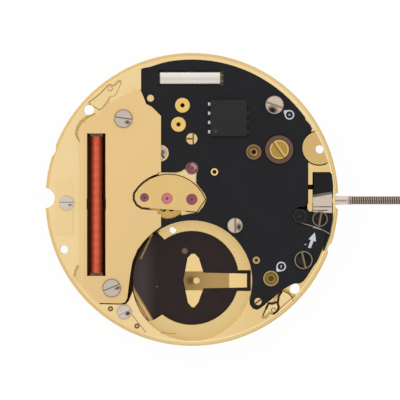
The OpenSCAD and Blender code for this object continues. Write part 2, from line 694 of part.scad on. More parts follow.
module bridge_jewels() {
    color("purple") {
        jewel(rotor_at, bridge_jewel_r - 0.10, crescent_low, bridge_top - 0.05);
        jewel([0, 0], bridge_jewel_r, crescent_low, bridge_top - 0.05);
    }
    color("pink") jewel(intermediate_at, bridge_jewel_r, crescent_low, bridge_top - 0.05);
    color("brown") jewel(third_at, third_jewel_r, bridge_low, board_seat - 0.02);
}

// Coil cover

module coil_cover() {
    color("gold") difference() {
        union() {
            difference() {
                slab(cover_points, cover_low, cover_top);
                well_shape(0.06, 0, cover_top + 1);
                crescent(crescent_gap, cover_low - eps, cover_top + eps);
                translate([0, 0, cover_low - eps]) linear_extrude(cover_t + 2 * eps) window();
                block([-2.75, -1.2, cover_low - eps], [-2, 2.2, cover_top + eps]);
            }
            for (place = motor_screws) disc(place, 0.85, core_top, cover_top);
        }
        for (place = motor_screws) clearance_hole(place, large_shank_d, core_top, cover_top);
    }
}

module window() {
    translate([coil_x, coil_y]) square([window_w, window_l], center = true);
    translate([coil_x, coil_y + 0.06]) square([window_w + 0.06, 0.86], center = true);
}

// Circuit board

module board_shape(gap, low, high) {
    difference() {
        intersection() {
            slab(outset(board_points, gap), low, high);
            disc([0, 0], board_r + gap, low - 1, high + 1);
        }
        well_shape(0.04 - gap, low - 1, high + 1);
        disc(boss_at, boss_r + 0.06 - gap, low - 1, high + 1);
        disc(pivot_at, pivot_r + 0.06 - gap, low - 1, high + 1);
    }
}

module circuit_board() {
    color("#1c1c22") difference() {
        board_shape(0, board_seat, board_top);
        disc(third_at, third_jewel_r + 0.015, board_seat - eps, board_top + eps);
        disc(bridge_screw_at, bridge_head_d / 2 + 0.16, board_seat - eps, board_top + eps);
        block([crystal_at[0] - crystal_l / 2 - 0.05, crystal_at[1] - crystal_slot_w / 2, board_seat - eps],
            [crystal_at[0] + crystal_l / 2 + 0.23, crystal_at[1] + crystal_slot_w / 2, board_top + eps]);
        disc(trimmer_at, trimmer_d / 2 + seat_gap, board_seat - eps, board_top + eps);
        for (place = board_screws_at) clearance_hole(place, large_shank_d, board_seat, board_top);
        clearance_hole(keyless_screw_at, large_shank_d, board_seat, board_top);
        for (tube = tube_sizes) disc([tube[0], tube[1]], tube[2] * 0.6, board_seat - eps, board_top + eps);
    }
}

module integrated_circuit() {
    color("#222226") block([chip_at[0] - chip_w / 2, chip_at[1] - chip_l / 2, board_top],
        [chip_at[0] + chip_w / 2, chip_at[1] + chip_l / 2, board_top + chip_t]);
}

lead_pitch = 0.75;
lead_w = 0.26;
lead_t = 0.08;

module chip_leads() {
    color("lightgray") for (side = [-1, 1], k = [0 : side_leads - 1]) {
        y = chip_at[1] + (k - (side_leads - 1) / 2) * lead_pitch;
        near = chip_at[0] + side * chip_w / 2;
        far = near + side * 0.20;
        block([min(near, far), y - lead_w / 2, board_top], [max(near, far), y + lead_w / 2,
            board_top + lead_t]);
    }
}

module quartz_crystal() {
    color("silver") translate([crystal_at[0], crystal_at[1], crystal_z]) rotate([0, 90, 0])
        cylinder(d = crystal_d, h = crystal_l, center = true);
}

module crystal_leads() {
    end = crystal_at[0] + crystal_l / 2;
    color("silver") for (side = [-1, 1]) translate([end, crystal_at[1] + side * 0.25, crystal_z])
        rotate([0, 90, 0]) cylinder(d = 0.16, h = 0.7);
}

module trimmer_body() {
    color("peru") difference() {
        disc(trimmer_at, trimmer_d / 2, trimmer_low, board_top + 0.16);
        disc(trimmer_at, trimmer_rotor_d / 2 + running_gap, trimmer_low + 0.2, board_top + 1);
    }
}

module trimmer_rotor() {
    color("gold") at(trimmer_at) rotate(-55) difference() {
        translate([0, 0, trimmer_low + 0.22]) cylinder(d = trimmer_rotor_d,
            h = board_top + 0.20 - trimmer_low - 0.22);
        translate([-2, -0.14, board_top + 0.06]) cube([4, 0.28, 1]);
    }
}

// Round tubes and rivets through the board: place, radius and hole radius.
tube_sizes = [[-0.755, 7.64, 0.62, 0.16], [-1.08, 6.09, 0.62, 0.16], [1.84, 2.23, 0.31, 0.14],
    [5.03, 3.85, 0.62, 0.16], [5.24, -4.94, 0.31, 0.12], [6.43, -6.42, 0.63, 0.22],
    [-3.35, 8.21, 0.29, 0], [0, 4.92, 0.47, 0], [5.38, -8.29, 0.30, 0]];
tube_head = 0.12;

// Flanged tube whose flange lies on the board and whose neck fills the board's hole.
module board_tube(tube) {
    place = [tube[0], tube[1]];
    difference() {
        union() {
            disc(place, tube[2], board_top, board_top + tube_head);
            disc(place, tube[2] * 0.6, board_seat, board_top + eps);
        }
        if (tube[3] > 0) disc(place, tube[3], board_seat - eps, board_top + 1);
    }
}

module motor_terminals() {
    color("gold") for (k = [0, 1]) board_tube(tube_sizes[k]);
}

module contact_tubes() {
    color("darkgoldenrod") for (k = [2 : 5]) board_tube(tube_sizes[k]);
}

module board_rivets() {
    color("goldenrod") for (k = [6 : 8]) difference() {
        board_tube(tube_sizes[k]);
        if (k == 7) at([tube_sizes[k][0], tube_sizes[k][1]], board_top + 0.06) {
            translate([-1, -0.07, 0]) cube([1.1, 0.14, 1]);
            translate([0.06, -1, 0]) cube([0.12, 2, 1]);
        }
        if (k == 8) at([tube_sizes[k][0], tube_sizes[k][1]], board_top + 0.06) rotate(35)
            translate([-1, -0.07, 0]) cube([2, 0.14, 1]);
    }
}

// Battery contacts

module insulator() {
    color("#3a1a10") difference() {
        union() {
            disc(hollow_at, hollow_r - seat_gap, hollow_skin, hollow_skin + insulator_t);
            intersection() {
                ledge_gap(hollow_skin, hollow_skin + insulator_t);
                disc(well_at, well_r - seat_gap, 0, 1);
            }
            difference() {
                arm_slot(hollow_skin, hollow_skin + insulator_t, seat_gap);
                disc(hollow_at, hollow_r * 0.7, 0, 1);
            }
        }
    }
}

// Flat spring: a bar with round ends under the cell and an arm to the board.
module negative_contact() {
    low = hollow_skin + insulator_t;
    high = low + contact_t;
    color("gold") {
        slab([[-0.32, -8.42], [0.00, -8.80], [0.22, -8.80], [0.52, -8.42], [0.95, -7.25],
            [4.5, well_at[1] - contact_arm_w / 2], [4.5, well_at[1] + contact_arm_w / 2], [0.95, -5.98],
            [0.57, -4.78], [0.25, -4.44], [-0.03, -4.44], [-0.35, -4.78], [-0.69, -6.60]], low, high);
        disc([0.39, -6.62], 0.28, high - eps, well_ledge + 0.04);
    }
}

module positive_contact() {
    color("gold") difference() {
        slab(contact_plate, plate_t, plate_t + contact_t);
        clearance_hole(contact_screw_at, small_shank_d, plate_t, plate_t + contact_t);
        for (place = rivets_at) disc(place, rivet_r, plate_t - eps, plate_t + 1);
    }
}

rivets_at = [[-6.60, -8.88], [-4.45, -10.28]];
rivet_r = 0.22;

module contact_rivets() {
    color("darkgoldenrod") for (place = rivets_at) disc(place, rivet_r, plate_t,
        plate_t + contact_t + 0.02);
}

// Stepping motor

module stator() {
    color("silver") difference() {
        union() {
            slab(stator_points, stator_seat, core_low);
            disc(rotor_at, 1.15, stator_seat, core_low);
            for (place = motor_screws) disc(place, 0.78, stator_seat, core_low);
        }
        disc(rotor_at, stator_bore_d / 2, 0, core_low + 1);
        for (place = motor_screws) clearance_hole(place, large_shank_d, stator_seat, core_low);
        well_shape(0.32, 0, 3);
    }
}

module coil_core() {
    color("gray") difference() {
        union() {
            slab(core_top_pad, core_low, core_top);
            slab(core_low_pad, core_low, core_top);
            block([coil_x - core_w / 2, coil_y - coil_l / 2 - 0.8, core_low],
                [coil_x + core_w / 2, coil_y + coil_l / 2 + 0.8, core_top]);
            for (side = [-1, 1]) translate([coil_x, coil_y + side * (coil_l / 2 + cheek_t + 0.3), coil_z])
                cube([coil_d + 0.12, 0.6, core_t], center = true);
        }
        for (place = motor_screws) clearance_hole(place, large_shank_d, core_low, core_top);
    }
}

cheek_t = 0.10;
cheek_r = coil_d / 2 + wire_d + 0.02;

module coil_winding() {
    color("orangered") translate([coil_x, coil_y, coil_z]) difference() {
        rotate([90, 0, 0]) {
            cylinder(d = coil_d, h = coil_l, center = true);
            for (side = [-1, 1]) translate([0, 0, side * (coil_l / 2 + cheek_t / 2 - eps / 2)])
                cylinder(r = cheek_r, h = cheek_t + eps, center = true);
        }
        cube([core_w, 2 * coil_l, core_t], center = true);
    }
}

// Outer layer of wire: one tube wound from cheek to cheek, with straight ends one diameter long.
wire_sides = 6;
turn_steps = 24;
wire_r = wire_d / 2;
wind_r = coil_d / 2 + wire_r + 0.005;
wind_l = coil_l - 4 * wire_d;
wind_pitch = wind_l / wire_turns;
wire_steps = wire_turns * turn_steps;

function wind_point(step) =
    let (angle = 360 * step / turn_steps)
    [coil_x + wind_r * sin(angle), coil_y - wind_l / 2 + wind_pitch * step / turn_steps,
        coil_z + wind_r * cos(angle)];

wire_path = concat(
    [wind_point(0) - [0, 2 * wire_d, 0], wind_point(0) - [0, wire_d, 0]],
    [for (step = [0 : wire_steps]) wind_point(step)],
    [wind_point(wire_steps) + [0, wire_d, 0], wind_point(wire_steps) + [0, 2 * wire_d, 0]]);

function path_ahead(path, i) =
    i == 0 || i >= len(path) - 2 ? [0, 1, 0]
    : unit(path[i + 1] - path[i - 1]);

function cross_ring(path, i) =
    let (ahead = path_ahead(path, i))
    let (outward = unit([path[i][0] - coil_x, 0, path[i][2] - coil_z]))
    let (side = unit(cross(ahead, outward)))
    let (up = cross(side, ahead))
    [for (k = [0 : wire_sides - 1])
        path[i] + wire_r * (cos(360 * k / wire_sides) * side + sin(360 * k / wire_sides) * up)];

// Least gap between two neighbouring turns, from points a turn apart along the coil.
wire_gap = min([for (step = [0 : wire_steps - turn_steps])
    norm(wind_point(step + turn_steps) - wind_point(step))]) - wire_d;

module coil_outer_layer() {
    echo(least_gap_between_turns = wire_gap);
    rings = len(wire_path);
    points = [for (i = [0 : rings - 1], p = cross_ring(wire_path, i)) p];
    sides = [for (i = [0 : rings - 2], k = [0 : wire_sides - 1], half = [0, 1])
        let (a = i * wire_sides + k)
        let (b = i * wire_sides + (k + 1) % wire_sides)
        half == 0 ? [a, b, b + wire_sides] : [a, b + wire_sides, a + wire_sides]];
    first = [for (k = [1 : wire_sides - 2]) [0, k + 1, k]];
    base = (rings - 1) * wire_sides;
    last = [for (k = [1 : wire_sides - 2]) [base, base + k, base + k + 1]];
    color("chocolate") polyhedron(points, concat(sides, first, last));
}

// Going train

module arbor(place, d, low, high) {
    disc(place, d / 2, low, high);
}

module rotor_magnet() {
    color("dimgray") ring(rotor_at, magnet_d / 2, arbor_d / 2, stator_seat + 0.02, core_low + 0.05);
}

module rotor_pinion() {
    color("silver") {
        arbor(rotor_at, arbor_d, stator_seat - 0.01, rotor_pinion_z + eps);
        gear(rotor_at, rotor_m, rotor_leaves, rotor_turn, rotor_pinion_z, rotor_pinion_z + 0.18, 0);
        arbor(rotor_at, pivot_d, floor_low + 0.04, bridge_top - 0.20);
    }
}

module intermediate_wheel() {
    color("gold") gear(intermediate_at, rotor_m, intermediate_teeth, intermediate_turn, intermediate_z,
        intermediate_z + wheel_t, arbor_d / 2, 8, -65 - intermediate_turn);
}

module intermediate_pinion() {
    color("silver") {
        gear(intermediate_at, seconds_m, intermediate_leaves, intermediate_pinion_turn,
            intermediate_pinion_z, intermediate_pinion_z + wheel_t + 0.08, 0);
        arbor(intermediate_at, arbor_d, floor_high + 0.02, crescent_low - 0.03);
        arbor(intermediate_at, pivot_d, floor_low + 0.04, bridge_top - 0.20);
    }
}

module seconds_wheel() {
    color("gold") gear([0, 0], seconds_m, seconds_teeth, seconds_turn, seconds_z, seconds_z + wheel_t,
        arbor_d / 2 + 0.02, 4);
}

module seconds_arbor() {
    color("silver") {
        arbor([0, 0], seconds_d, -seconds_reach, floor_high + 0.10);
        gear([0, 0], third_m, seconds_leaves, seconds_pinion_turn, second_pinion_z,
            seconds_z - 0.02, 0);
        arbor([0, 0], arbor_d + 0.04, seconds_z - 0.03, crescent_low - 0.03);
        arbor([0, 0], pivot_d, seconds_z, bridge_top - 0.20);
    }
}

module third_wheel() {
    color("gold") gear(third_at, third_m, third_teeth, third_turn, third_z, third_z + wheel_t,
        arbor_d / 2, 5);
}

module third_pinion() {
    color("silver") {
        gear(third_at, centre_m, third_leaves, third_pinion_turn, centre_z - 0.02,
            centre_z + wheel_t + 0.01, 0);
        arbor(third_at, arbor_d, centre_z, bridge_low - 0.03);
        arbor(third_at, pivot_d, third_z, board_seat - 0.14);
    }
}

// Motion works

cannon_seat_d = 1.00;
cannon_bore_r = centre_tube_d / 2 + running_gap;
hour_collar_r = hour_pipe_d / 2 + 0.17;
hand_gap = 0.02;

module centre_wheel() {
    color("gold") gear([0, 0], centre_m, centre_teeth, centre_turn, centre_z, centre_z + wheel_t,
        cannon_seat_d / 2 + 0.02, 0);
}

module cannon_pinion() {
    color("silver") difference() {
        union() {
            gear([0, 0], cannon_m, cannon_leaves, cannon_turn, cannon_leaf_z, centre_z - 0.015, 0);
            disc([0, 0], cannon_seat_d / 2, centre_z - 0.02, floor_low - 0.015);
            disc([0, 0], cannon_body_d / 2, -hour_reach - hand_gap, cannon_leaf_z + eps);
            disc([0, 0], cannon_d / 2, -minute_reach, -hour_reach);
        }
        disc([0, 0], cannon_bore_r, -minute_reach - eps, floor_low);
    }
}

module minute_wheel() {
    color("gold") gear(minute_at, cannon_m, minute_teeth, minute_turn, minute_z, minute_z + wheel_t,
        post_d / 2 + running_gap, 0);
}

module minute_pinion() {
    color("silver") gear(minute_at, hour_m, minute_leaves, minute_pinion_turn, hour_z - 0.02, minute_z,
        post_d / 2 + running_gap, 0);
}

module hour_wheel() {
    color("gold") difference() {
        union() {
            gear([0, 0], hour_m, hour_teeth, hour_turn, hour_z, hour_z + wheel_t, 0);
            disc([0, 0], hour_collar_r, -hand_gap, hour_z + eps);
            disc([0, 0], hour_pipe_d / 2, -hour_reach, 0);
        }
        disc([0, 0], cannon_body_d / 2 + running_gap, -hour_reach - eps, hour_z + 1);
    }
}

module setting_wheel() {
    color("silver") gear(setting_at, setting_m, setting_teeth, setting_turn, minute_z,
        minute_z + wheel_t, post_d / 2 + running_gap, 0);
}

module motion_posts() {
    color("silver") for (place = [minute_at, setting_at]) disc(place, post_d / 2, dial_cover_t + 0.02,
        post_top);
}

// Cover over the motion works, held by countersunk screws.
dial_screws_at = [[-2.55, 1.45], [-2.50, -1.60], [4.25, 2.35], [6.10, -1.75]];
dial_cover_ear = 0.60;

module dial_cover_outline(low, high, gap) {
    disc([0, 0], 2.75 + gap, low, high);
    disc(minute_at, 2.45 + gap, low, high);
    disc(setting_at, 1.60 + gap, low, high);
    disc(third_at, 0.65 + gap, low, high);
    for (place = dial_screws_at) disc(place, dial_cover_ear + gap, low, high);
}

module dial_side_cover() {
    color("silver") difference() {
        dial_cover_outline(0, dial_cover_t, 0);
        disc([0, 0], hour_collar_r + 0.10, -1, 1);
        for (place = dial_screws_at) disc(place, 0.36, -1, 1);
    }
}

module dial_cover_screws() {
    color("dimgray") for (place = dial_screws_at) at(place) difference() {
        union() {
            cylinder(r = 0.36, h = dial_cover_t);
            cylinder(r = 0.20, h = 0.45);
        }
        translate([-1, -0.05, -eps]) cube([2, 0.10, 0.04]);
    }
}

// Stem and keyless works

// The pulled clutch stops just short of the setting wheel's teeth.
clutch_start = setting_at[0] + tip_r(setting_m, setting_teeth) + clutch_travel + 0.03;
clutch_end = clutch_start + clutch_l;
clutch_pocket_low = clutch_start - clutch_travel - 0.12;
collar_start = clutch_end + 0.12;
clutch_pocket_high = collar_start + 0.20;
groove_x = lever_at[0] - stem_travel / 2;
groove_low = groove_x - groove_w / 2;
groove_high = groove_x + groove_w / 2;
groove_r = 0.22;
pilot_start = 5.30;
pilot_r = 0.20;
square_start = clutch_start - 0.40;
clutch_groove_r = 0.42;
fork_w = 0.26;
fork_x = clutch_start + clutch_l / 2;
fork_tail = 0.72;
fork_head = 0.68;
window_low = 9.80;
jumper_low = 1.30;
jumper_high = 1.50;
fork_low = 1.32;
fork_high = 1.55;
fork_pin_at = [fork_x, 1.60];
lever_low = stem_z - shoulder_d / 2 - lever_t - 0.04;

// Round bar along X at the stem's height.
module bar(from, to, r) {
    translate([from, stem_y, stem_z]) rotate([0, 90, 0]) cylinder(r = r, h = to - from);
}

// Bar whose radius changes evenly from one end to the other.
module taper(from, to, from_r, to_r) {
    translate([from, stem_y, stem_z]) rotate([0, 90, 0]) cylinder(r1 = from_r, r2 = to_r, h = to - from);
}

module square_bar(from, to, side) {
    translate([from, stem_y - side / 2, stem_z - side / 2]) cube([to - from, side, side]);
}

module stem() {
    color("silver") {
        bar(pilot_start, square_start + eps, pilot_r);
        square_bar(square_start, collar_start + eps, square_w);
        bar(collar_start, groove_low, shoulder_d / 2);
        bar(groove_low - eps, groove_high + eps, groove_r);
        bar(groove_high, shoulder_end, shoulder_d / 2);
        taper(shoulder_end - eps, thread_start, stem_d / 2, thread_d / 2);
        bar(thread_start - eps, stem_end, thread_d / 2);
    }
}

crown_teeth = 12;

// Sliding pinion: crown teeth at its inner end, a groove for the fork and a square hole.
module clutch() {
    color("lightsteelblue") difference() {
        union() {
            bar(clutch_start + 0.12, clutch_end, clutch_d / 2);
            bar(clutch_start, clutch_start + 0.13, 0.46);
            for (k = [0 : crown_teeth - 1]) translate([clutch_start, stem_y, stem_z])
                rotate([k * 360 / crown_teeth, 0, 0]) translate([0, 0.40, -0.055])
                    cube([0.13, clutch_d / 2 - 0.41, 0.11]);
        }
        difference() {
            bar(fork_x - fork_w / 2 - 0.04, fork_x + fork_w / 2 + 0.04, clutch_d);
            bar(0, 20, clutch_groove_r);
        }
        square_bar(clutch_start - 1, clutch_end + 1, square_w + 0.04);
    }
}

// Sliding fork that moves the clutch, with a guide slot for its pin.
module clutch_fork() {
    pin_r = 0.18 + running_gap;
    color("slategray") difference() {
        union() {
            block([fork_x - fork_w / 2, stem_y - 0.62, fork_low], [fork_x + fork_w / 2, 1.2, fork_high]);
            block([fork_x - fork_tail, 0.75, fork_low], [fork_x + fork_head, 2.22, fork_high]);
            for (side = [-1, 1]) translate([fork_x - fork_w / 2, stem_y + side * 0.54 - 0.08, 0.85])
                cube([fork_w, 0.16, fork_low - 0.85 + eps]);
        }
        disc(fork_pin_at, pin_r, 0, 3);
        disc(fork_pin_at + [clutch_travel, 0], pin_r, 0, 3);
        block([fork_pin_at[0], fork_pin_at[1] - pin_r, 0], [fork_pin_at[0] + clutch_travel,
            fork_pin_at[1] + pin_r, 3]);
    }
}

module fork_pin() {
    color("silver") disc(fork_pin_at, 0.18, 0.9, fork_high);
}

// Lever under the stem; its pin sits in the stem's groove.
module setting_lever() {
    high = lever_low + lever_t;
    reach = lever_at[1] - stem_y;
    color("slategray") difference() {
        union() {
            disc(lever_at, 0.50, lever_low, high);
            slab([lever_at + [-0.40, 0], lever_at + [0.30, 0], [groove_x + 0.26, stem_y - 0.05],
                [groove_x + 0.14, stem_y + 0.2], [groove_x - 0.14, stem_y + 0.2],
                [groove_x - 0.22, stem_y - 0.05]], lever_low, high);
            disc([groove_x, stem_y], 0.13, lever_low, stem_z - groove_r - 0.03);
        }
        clearance_hole(lever_at, large_shank_d, lever_low, high);
    }
}

// Spring plate with a tongue over the stem; the tongue's far edge slopes down beside the block.
module lever_jumper() {
    low = stem_z + shoulder_d / 2 + running_gap + 0.01;
    slit = jumper_slit / 2;
    color("gainsboro") difference() {
        union() {
            slab(jumper_points, jumper_low, jumper_high);
            slab([[jumper_left, -0.66 - eps], [jumper_right, -0.66 - eps],
                [jumper_right, stem_y + guard_reach + guard_lean],
                [jumper_left, stem_y + guard_reach]], low, jumper_high);
            hull() {
                guard_edge(0, low, jumper_high);
                guard_edge(guard_slope, low, low + 0.02);
            }
        }
        clearance_hole(lever_at, large_shank_d, jumper_low, jumper_high);
        block([jumper_left - eps, -0.895 - slit, 1.2], [jumper_right - 0.37, -0.895 + slit, 1.6]);
        block([jumper_left + 0.04, -0.605 - slit, 1.2], [jumper_right - 0.04, -0.605 + slit, 1.6]);
    }
}

// Thin strip along the guard's leaning edge, at a distance outside it.
module guard_edge(away, low, high) {
    slab([[jumper_left, stem_y + guard_reach + away - 0.02],
        [jumper_right, stem_y + guard_reach + guard_lean + away - 0.02],
        [jumper_right, stem_y + guard_reach + guard_lean + away],
        [jumper_left, stem_y + guard_reach + away]], low, high);
}

module stem_guide_block() {
    color("#1c1c22") slab([[9.90, 0.42], [edge_r - 0.21, 0.72], [edge_r - 0.21, 1.2],
        [edge_r - 0.31, 2.0], [edge_r - 0.49, 2.18], [9.90, 2.18]], lever_low - 0.03, board_top - 0.03);
}

module lever_cap() {
    color("#1c1c22") difference() {
        lever_cap_shape(0, board_seat, board_top - 0.02);
        clearance_hole(lever_at, large_shank_d, board_seat, board_top);
    }
}

module pivot_stud() {
    color("#26262c") ring(pivot_at, pivot_r, 0.08, board_top - 0.02, board_top + 0.08);
}

// Small fixed pieces

module casing_clamp() {
    color("gold") difference() {
        block([clamp_screw_at[0] - 0.83, clamp_screw_at[1] - 2.52, plate_t],
            [clamp_screw_at[0] + 0.52, clamp_screw_at[1] + 1.78, plate_t + 0.10]);
        clearance_hole(clamp_screw_at, small_shank_d, plate_t, plate_t + 0.10);
        disc([-flange_d / 2, 0.11], notch_r + 0.1, 0, 3);
    }
}

// Dial foot clamps: the left one as drawn, the right one turned by half a turn about the centre.
foot_clamp_edge = 0.466;
foot_clamp_at = polar(edge_r - foot_clamp_edge, 126.42);
foot_clamp_post_r = 0.16;
foot_clamp_t = 0.22;
foot_clamp_z = board_seat - foot_clamp_t - 0.02;
foot_clamp_form = [[-0.90, -1.70], [-0.69, -1.62], [-0.25, -1.01], [-0.12, -0.72], [0.08, -0.60],
    [0.32, -0.60], [0.53, -0.36], [0.89, 0.49], [0.69, 0.50], [0.29, 0.12], [-0.21, 0.18],
    [-0.81, -0.45], [-1.41, -0.92], [-1.71, -1.13]];
foot_clamp_points = [for (p = foot_clamp_form) foot_clamp_at + p];

module swung(angle) {
    at(foot_clamp_at) rotate(angle) at(-foot_clamp_at) children();
}

module foot_clamp_outline(gap, low, high) {
    slab(outset(foot_clamp_points, gap), low, high);
    disc(foot_clamp_at, 0.30 + gap, low, high);
}

module foot_clamp() {
    color("gold") difference() {
        foot_clamp_outline(0, foot_clamp_z, foot_clamp_z + foot_clamp_t);
        disc(foot_clamp_at, foot_clamp_post_r + running_gap, 0, 3);
    }
}

module left_foot_clamp() {
    foot_clamp();
}

module right_foot_clamp() {
    rotate(180) foot_clamp();
}

module cover_screws() {
    color("silver") for (k = [0, 1]) screw(motor_screws[k], large_head_d, large_shank_d, cover_top, 0.3,
        motor_screw_turns[k]);
}

module board_screws() {
    color("silver") {
        screw(board_screws_at[0], large_head_d, large_shank_d, board_top, 0.6, board_screw_turns[0]);
        screw(board_screws_at[1], small_head_d + 0.04, large_shank_d, board_top, 0.6,
            board_screw_turns[1]);
    }
}

module bridge_screw() {
    color("silver") screw(bridge_screw_at, bridge_head_d, small_shank_d, board_seat, 0.6, -52,
        board_t - 0.02);
}

module keyless_screws() {
    color("#30303a") {
        screw(keyless_screw_at, large_head_d, large_shank_d, board_top, 0.6, 103);
        screw(lever_at, small_head_d + 0.04, large_shank_d, board_top - 0.02, 0.12, 80);
    }
}

module clamp_screw() {
    color("silver") screw(clamp_screw_at, small_head_d - 0.03, small_shank_d, plate_t + 0.10, 0.6, 0);
}

module contact_screw() {
    color("silver") screw(contact_screw_at, small_head_d - 0.02, small_shank_d, plate_t + contact_t,
        0.6, 30);
}

main_plate();
centre_tube();
plate_jewels();
train_bridge();
bridge_jewels();
coil_cover();
circuit_board();
integrated_circuit();
chip_leads();
quartz_crystal();
crystal_leads();
trimmer_body();
trimmer_rotor();
motor_terminals();
contact_tubes();
board_rivets();
insulator();
negative_contact();
positive_contact();
contact_rivets();
stator();
coil_core();
coil_winding();
coil_outer_layer();
rotor_magnet();
rotor_pinion();
intermediate_wheel();
intermediate_pinion();
seconds_wheel();
seconds_arbor();
third_wheel();
third_pinion();
centre_wheel();
cannon_pinion();
minute_wheel();
minute_pinion();
hour_wheel();
setting_wheel();
motion_posts();
dial_side_cover();
dial_cover_screws();
stem();
clutch();
clutch_fork();
fork_pin();
setting_lever();
lever_jumper();
stem_guide_block();
lever_cap();
pivot_stud();
casing_clamp();
cover_screws();
board_screws();
bridge_screw();
keyless_screws();
clamp_screw();
contact_screw();
left_foot_clamp();
right_foot_clamp();
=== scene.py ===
"""Looks of a round quartz watch movement, lying with its battery side up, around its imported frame."""

import json
import logging
import math
from dataclasses import dataclass
from enum import Enum
from typing import Any, Callable

import bpy
import numpy as np
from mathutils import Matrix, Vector

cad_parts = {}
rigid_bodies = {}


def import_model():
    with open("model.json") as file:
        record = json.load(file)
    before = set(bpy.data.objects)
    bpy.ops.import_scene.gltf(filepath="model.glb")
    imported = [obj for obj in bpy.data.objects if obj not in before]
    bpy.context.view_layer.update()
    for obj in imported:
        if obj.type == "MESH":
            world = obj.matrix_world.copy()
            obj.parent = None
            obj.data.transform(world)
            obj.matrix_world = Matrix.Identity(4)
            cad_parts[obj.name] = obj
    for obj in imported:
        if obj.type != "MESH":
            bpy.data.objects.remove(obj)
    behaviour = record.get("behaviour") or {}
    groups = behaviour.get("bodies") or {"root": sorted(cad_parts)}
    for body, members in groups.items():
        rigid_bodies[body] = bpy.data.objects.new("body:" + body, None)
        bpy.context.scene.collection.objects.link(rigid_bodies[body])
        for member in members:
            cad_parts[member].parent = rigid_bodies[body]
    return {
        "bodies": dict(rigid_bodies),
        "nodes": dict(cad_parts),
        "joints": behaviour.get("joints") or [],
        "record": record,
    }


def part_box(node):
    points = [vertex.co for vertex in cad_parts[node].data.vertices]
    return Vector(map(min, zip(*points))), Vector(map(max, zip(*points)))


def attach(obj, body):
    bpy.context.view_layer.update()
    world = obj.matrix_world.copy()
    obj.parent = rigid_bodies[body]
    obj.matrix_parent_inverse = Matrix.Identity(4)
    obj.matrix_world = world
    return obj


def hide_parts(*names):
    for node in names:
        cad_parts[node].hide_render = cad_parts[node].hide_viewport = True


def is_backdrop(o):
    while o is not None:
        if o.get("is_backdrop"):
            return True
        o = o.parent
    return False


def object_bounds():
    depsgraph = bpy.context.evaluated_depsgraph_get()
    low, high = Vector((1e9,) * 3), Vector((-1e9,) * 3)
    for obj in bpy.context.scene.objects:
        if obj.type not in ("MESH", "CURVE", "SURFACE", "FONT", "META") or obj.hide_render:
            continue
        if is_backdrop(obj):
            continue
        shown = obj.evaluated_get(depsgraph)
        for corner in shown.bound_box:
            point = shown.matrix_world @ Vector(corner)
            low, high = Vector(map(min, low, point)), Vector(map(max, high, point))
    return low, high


Rgb = tuple[float, float, float]
Spot = tuple[float, float]
Spotted = tuple[float, float, float, float, Rgb]

MM = 0.001
# Edges of made pieces that bend by more than this many degrees stay sharp
SHARP_FROM = 32.0
# Start, end and width of the bright fold at the left of the battery well, and its colour
FOLD: tuple[Spot, Spot, float] = ((-3.22, -2.81), (-4.19, -4.87), 0.15)
FOLD_COLOUR: Rgb = (0.42, 0.31, 0.11)
# Corners, width and colour of the painted bevel highlight and the painted shadow in each channel round the
# lower foot clamp
CLAMP_SHADOWS_AND_HIGHLIGHT: tuple[tuple[tuple[Spot, ...], float, Rgb], ...] = (
    (((7.57, -7.32), (7.97, -7.54), (8.25, -7.82), (8.34, -8.10)), 0.11, (0.85, 0.56, 0.12)),
    (((7.45, -7.42), (7.88, -7.65), (8.15, -7.92), (8.22, -8.19)), 0.11, (0.10, 0.045, 0.010)),
    (((7.30, -7.49), (7.07, -7.85), (6.98, -8.44), (7.07, -8.76), (6.94, -9.12), (6.67, -9.30)), 0.20,
     (0.060, 0.026, 0.008)),
    (((6.94, -8.33), (6.53, -8.49), (6.24, -8.44), (6.03, -8.89)), 0.18, (0.060, 0.026, 0.008)),
    (((6.03, -8.89), (5.81, -9.42)), 0.08, (0.10, 0.045, 0.010)))
# Y and Z of the stem's axis
STEM_AXIS: Spot = (-0.08, 0.85)
log = logging.getLogger("movement")


class Marks(Enum):
    """How a surface was worked, which sets the lines in its relief."""

    FROSTED = "frosted"
    BRUSHED_X = "brushed along X"
    BRUSHED_Y = "brushed along Y"
    TURNED = "turned"
    POLISHED = "polished"


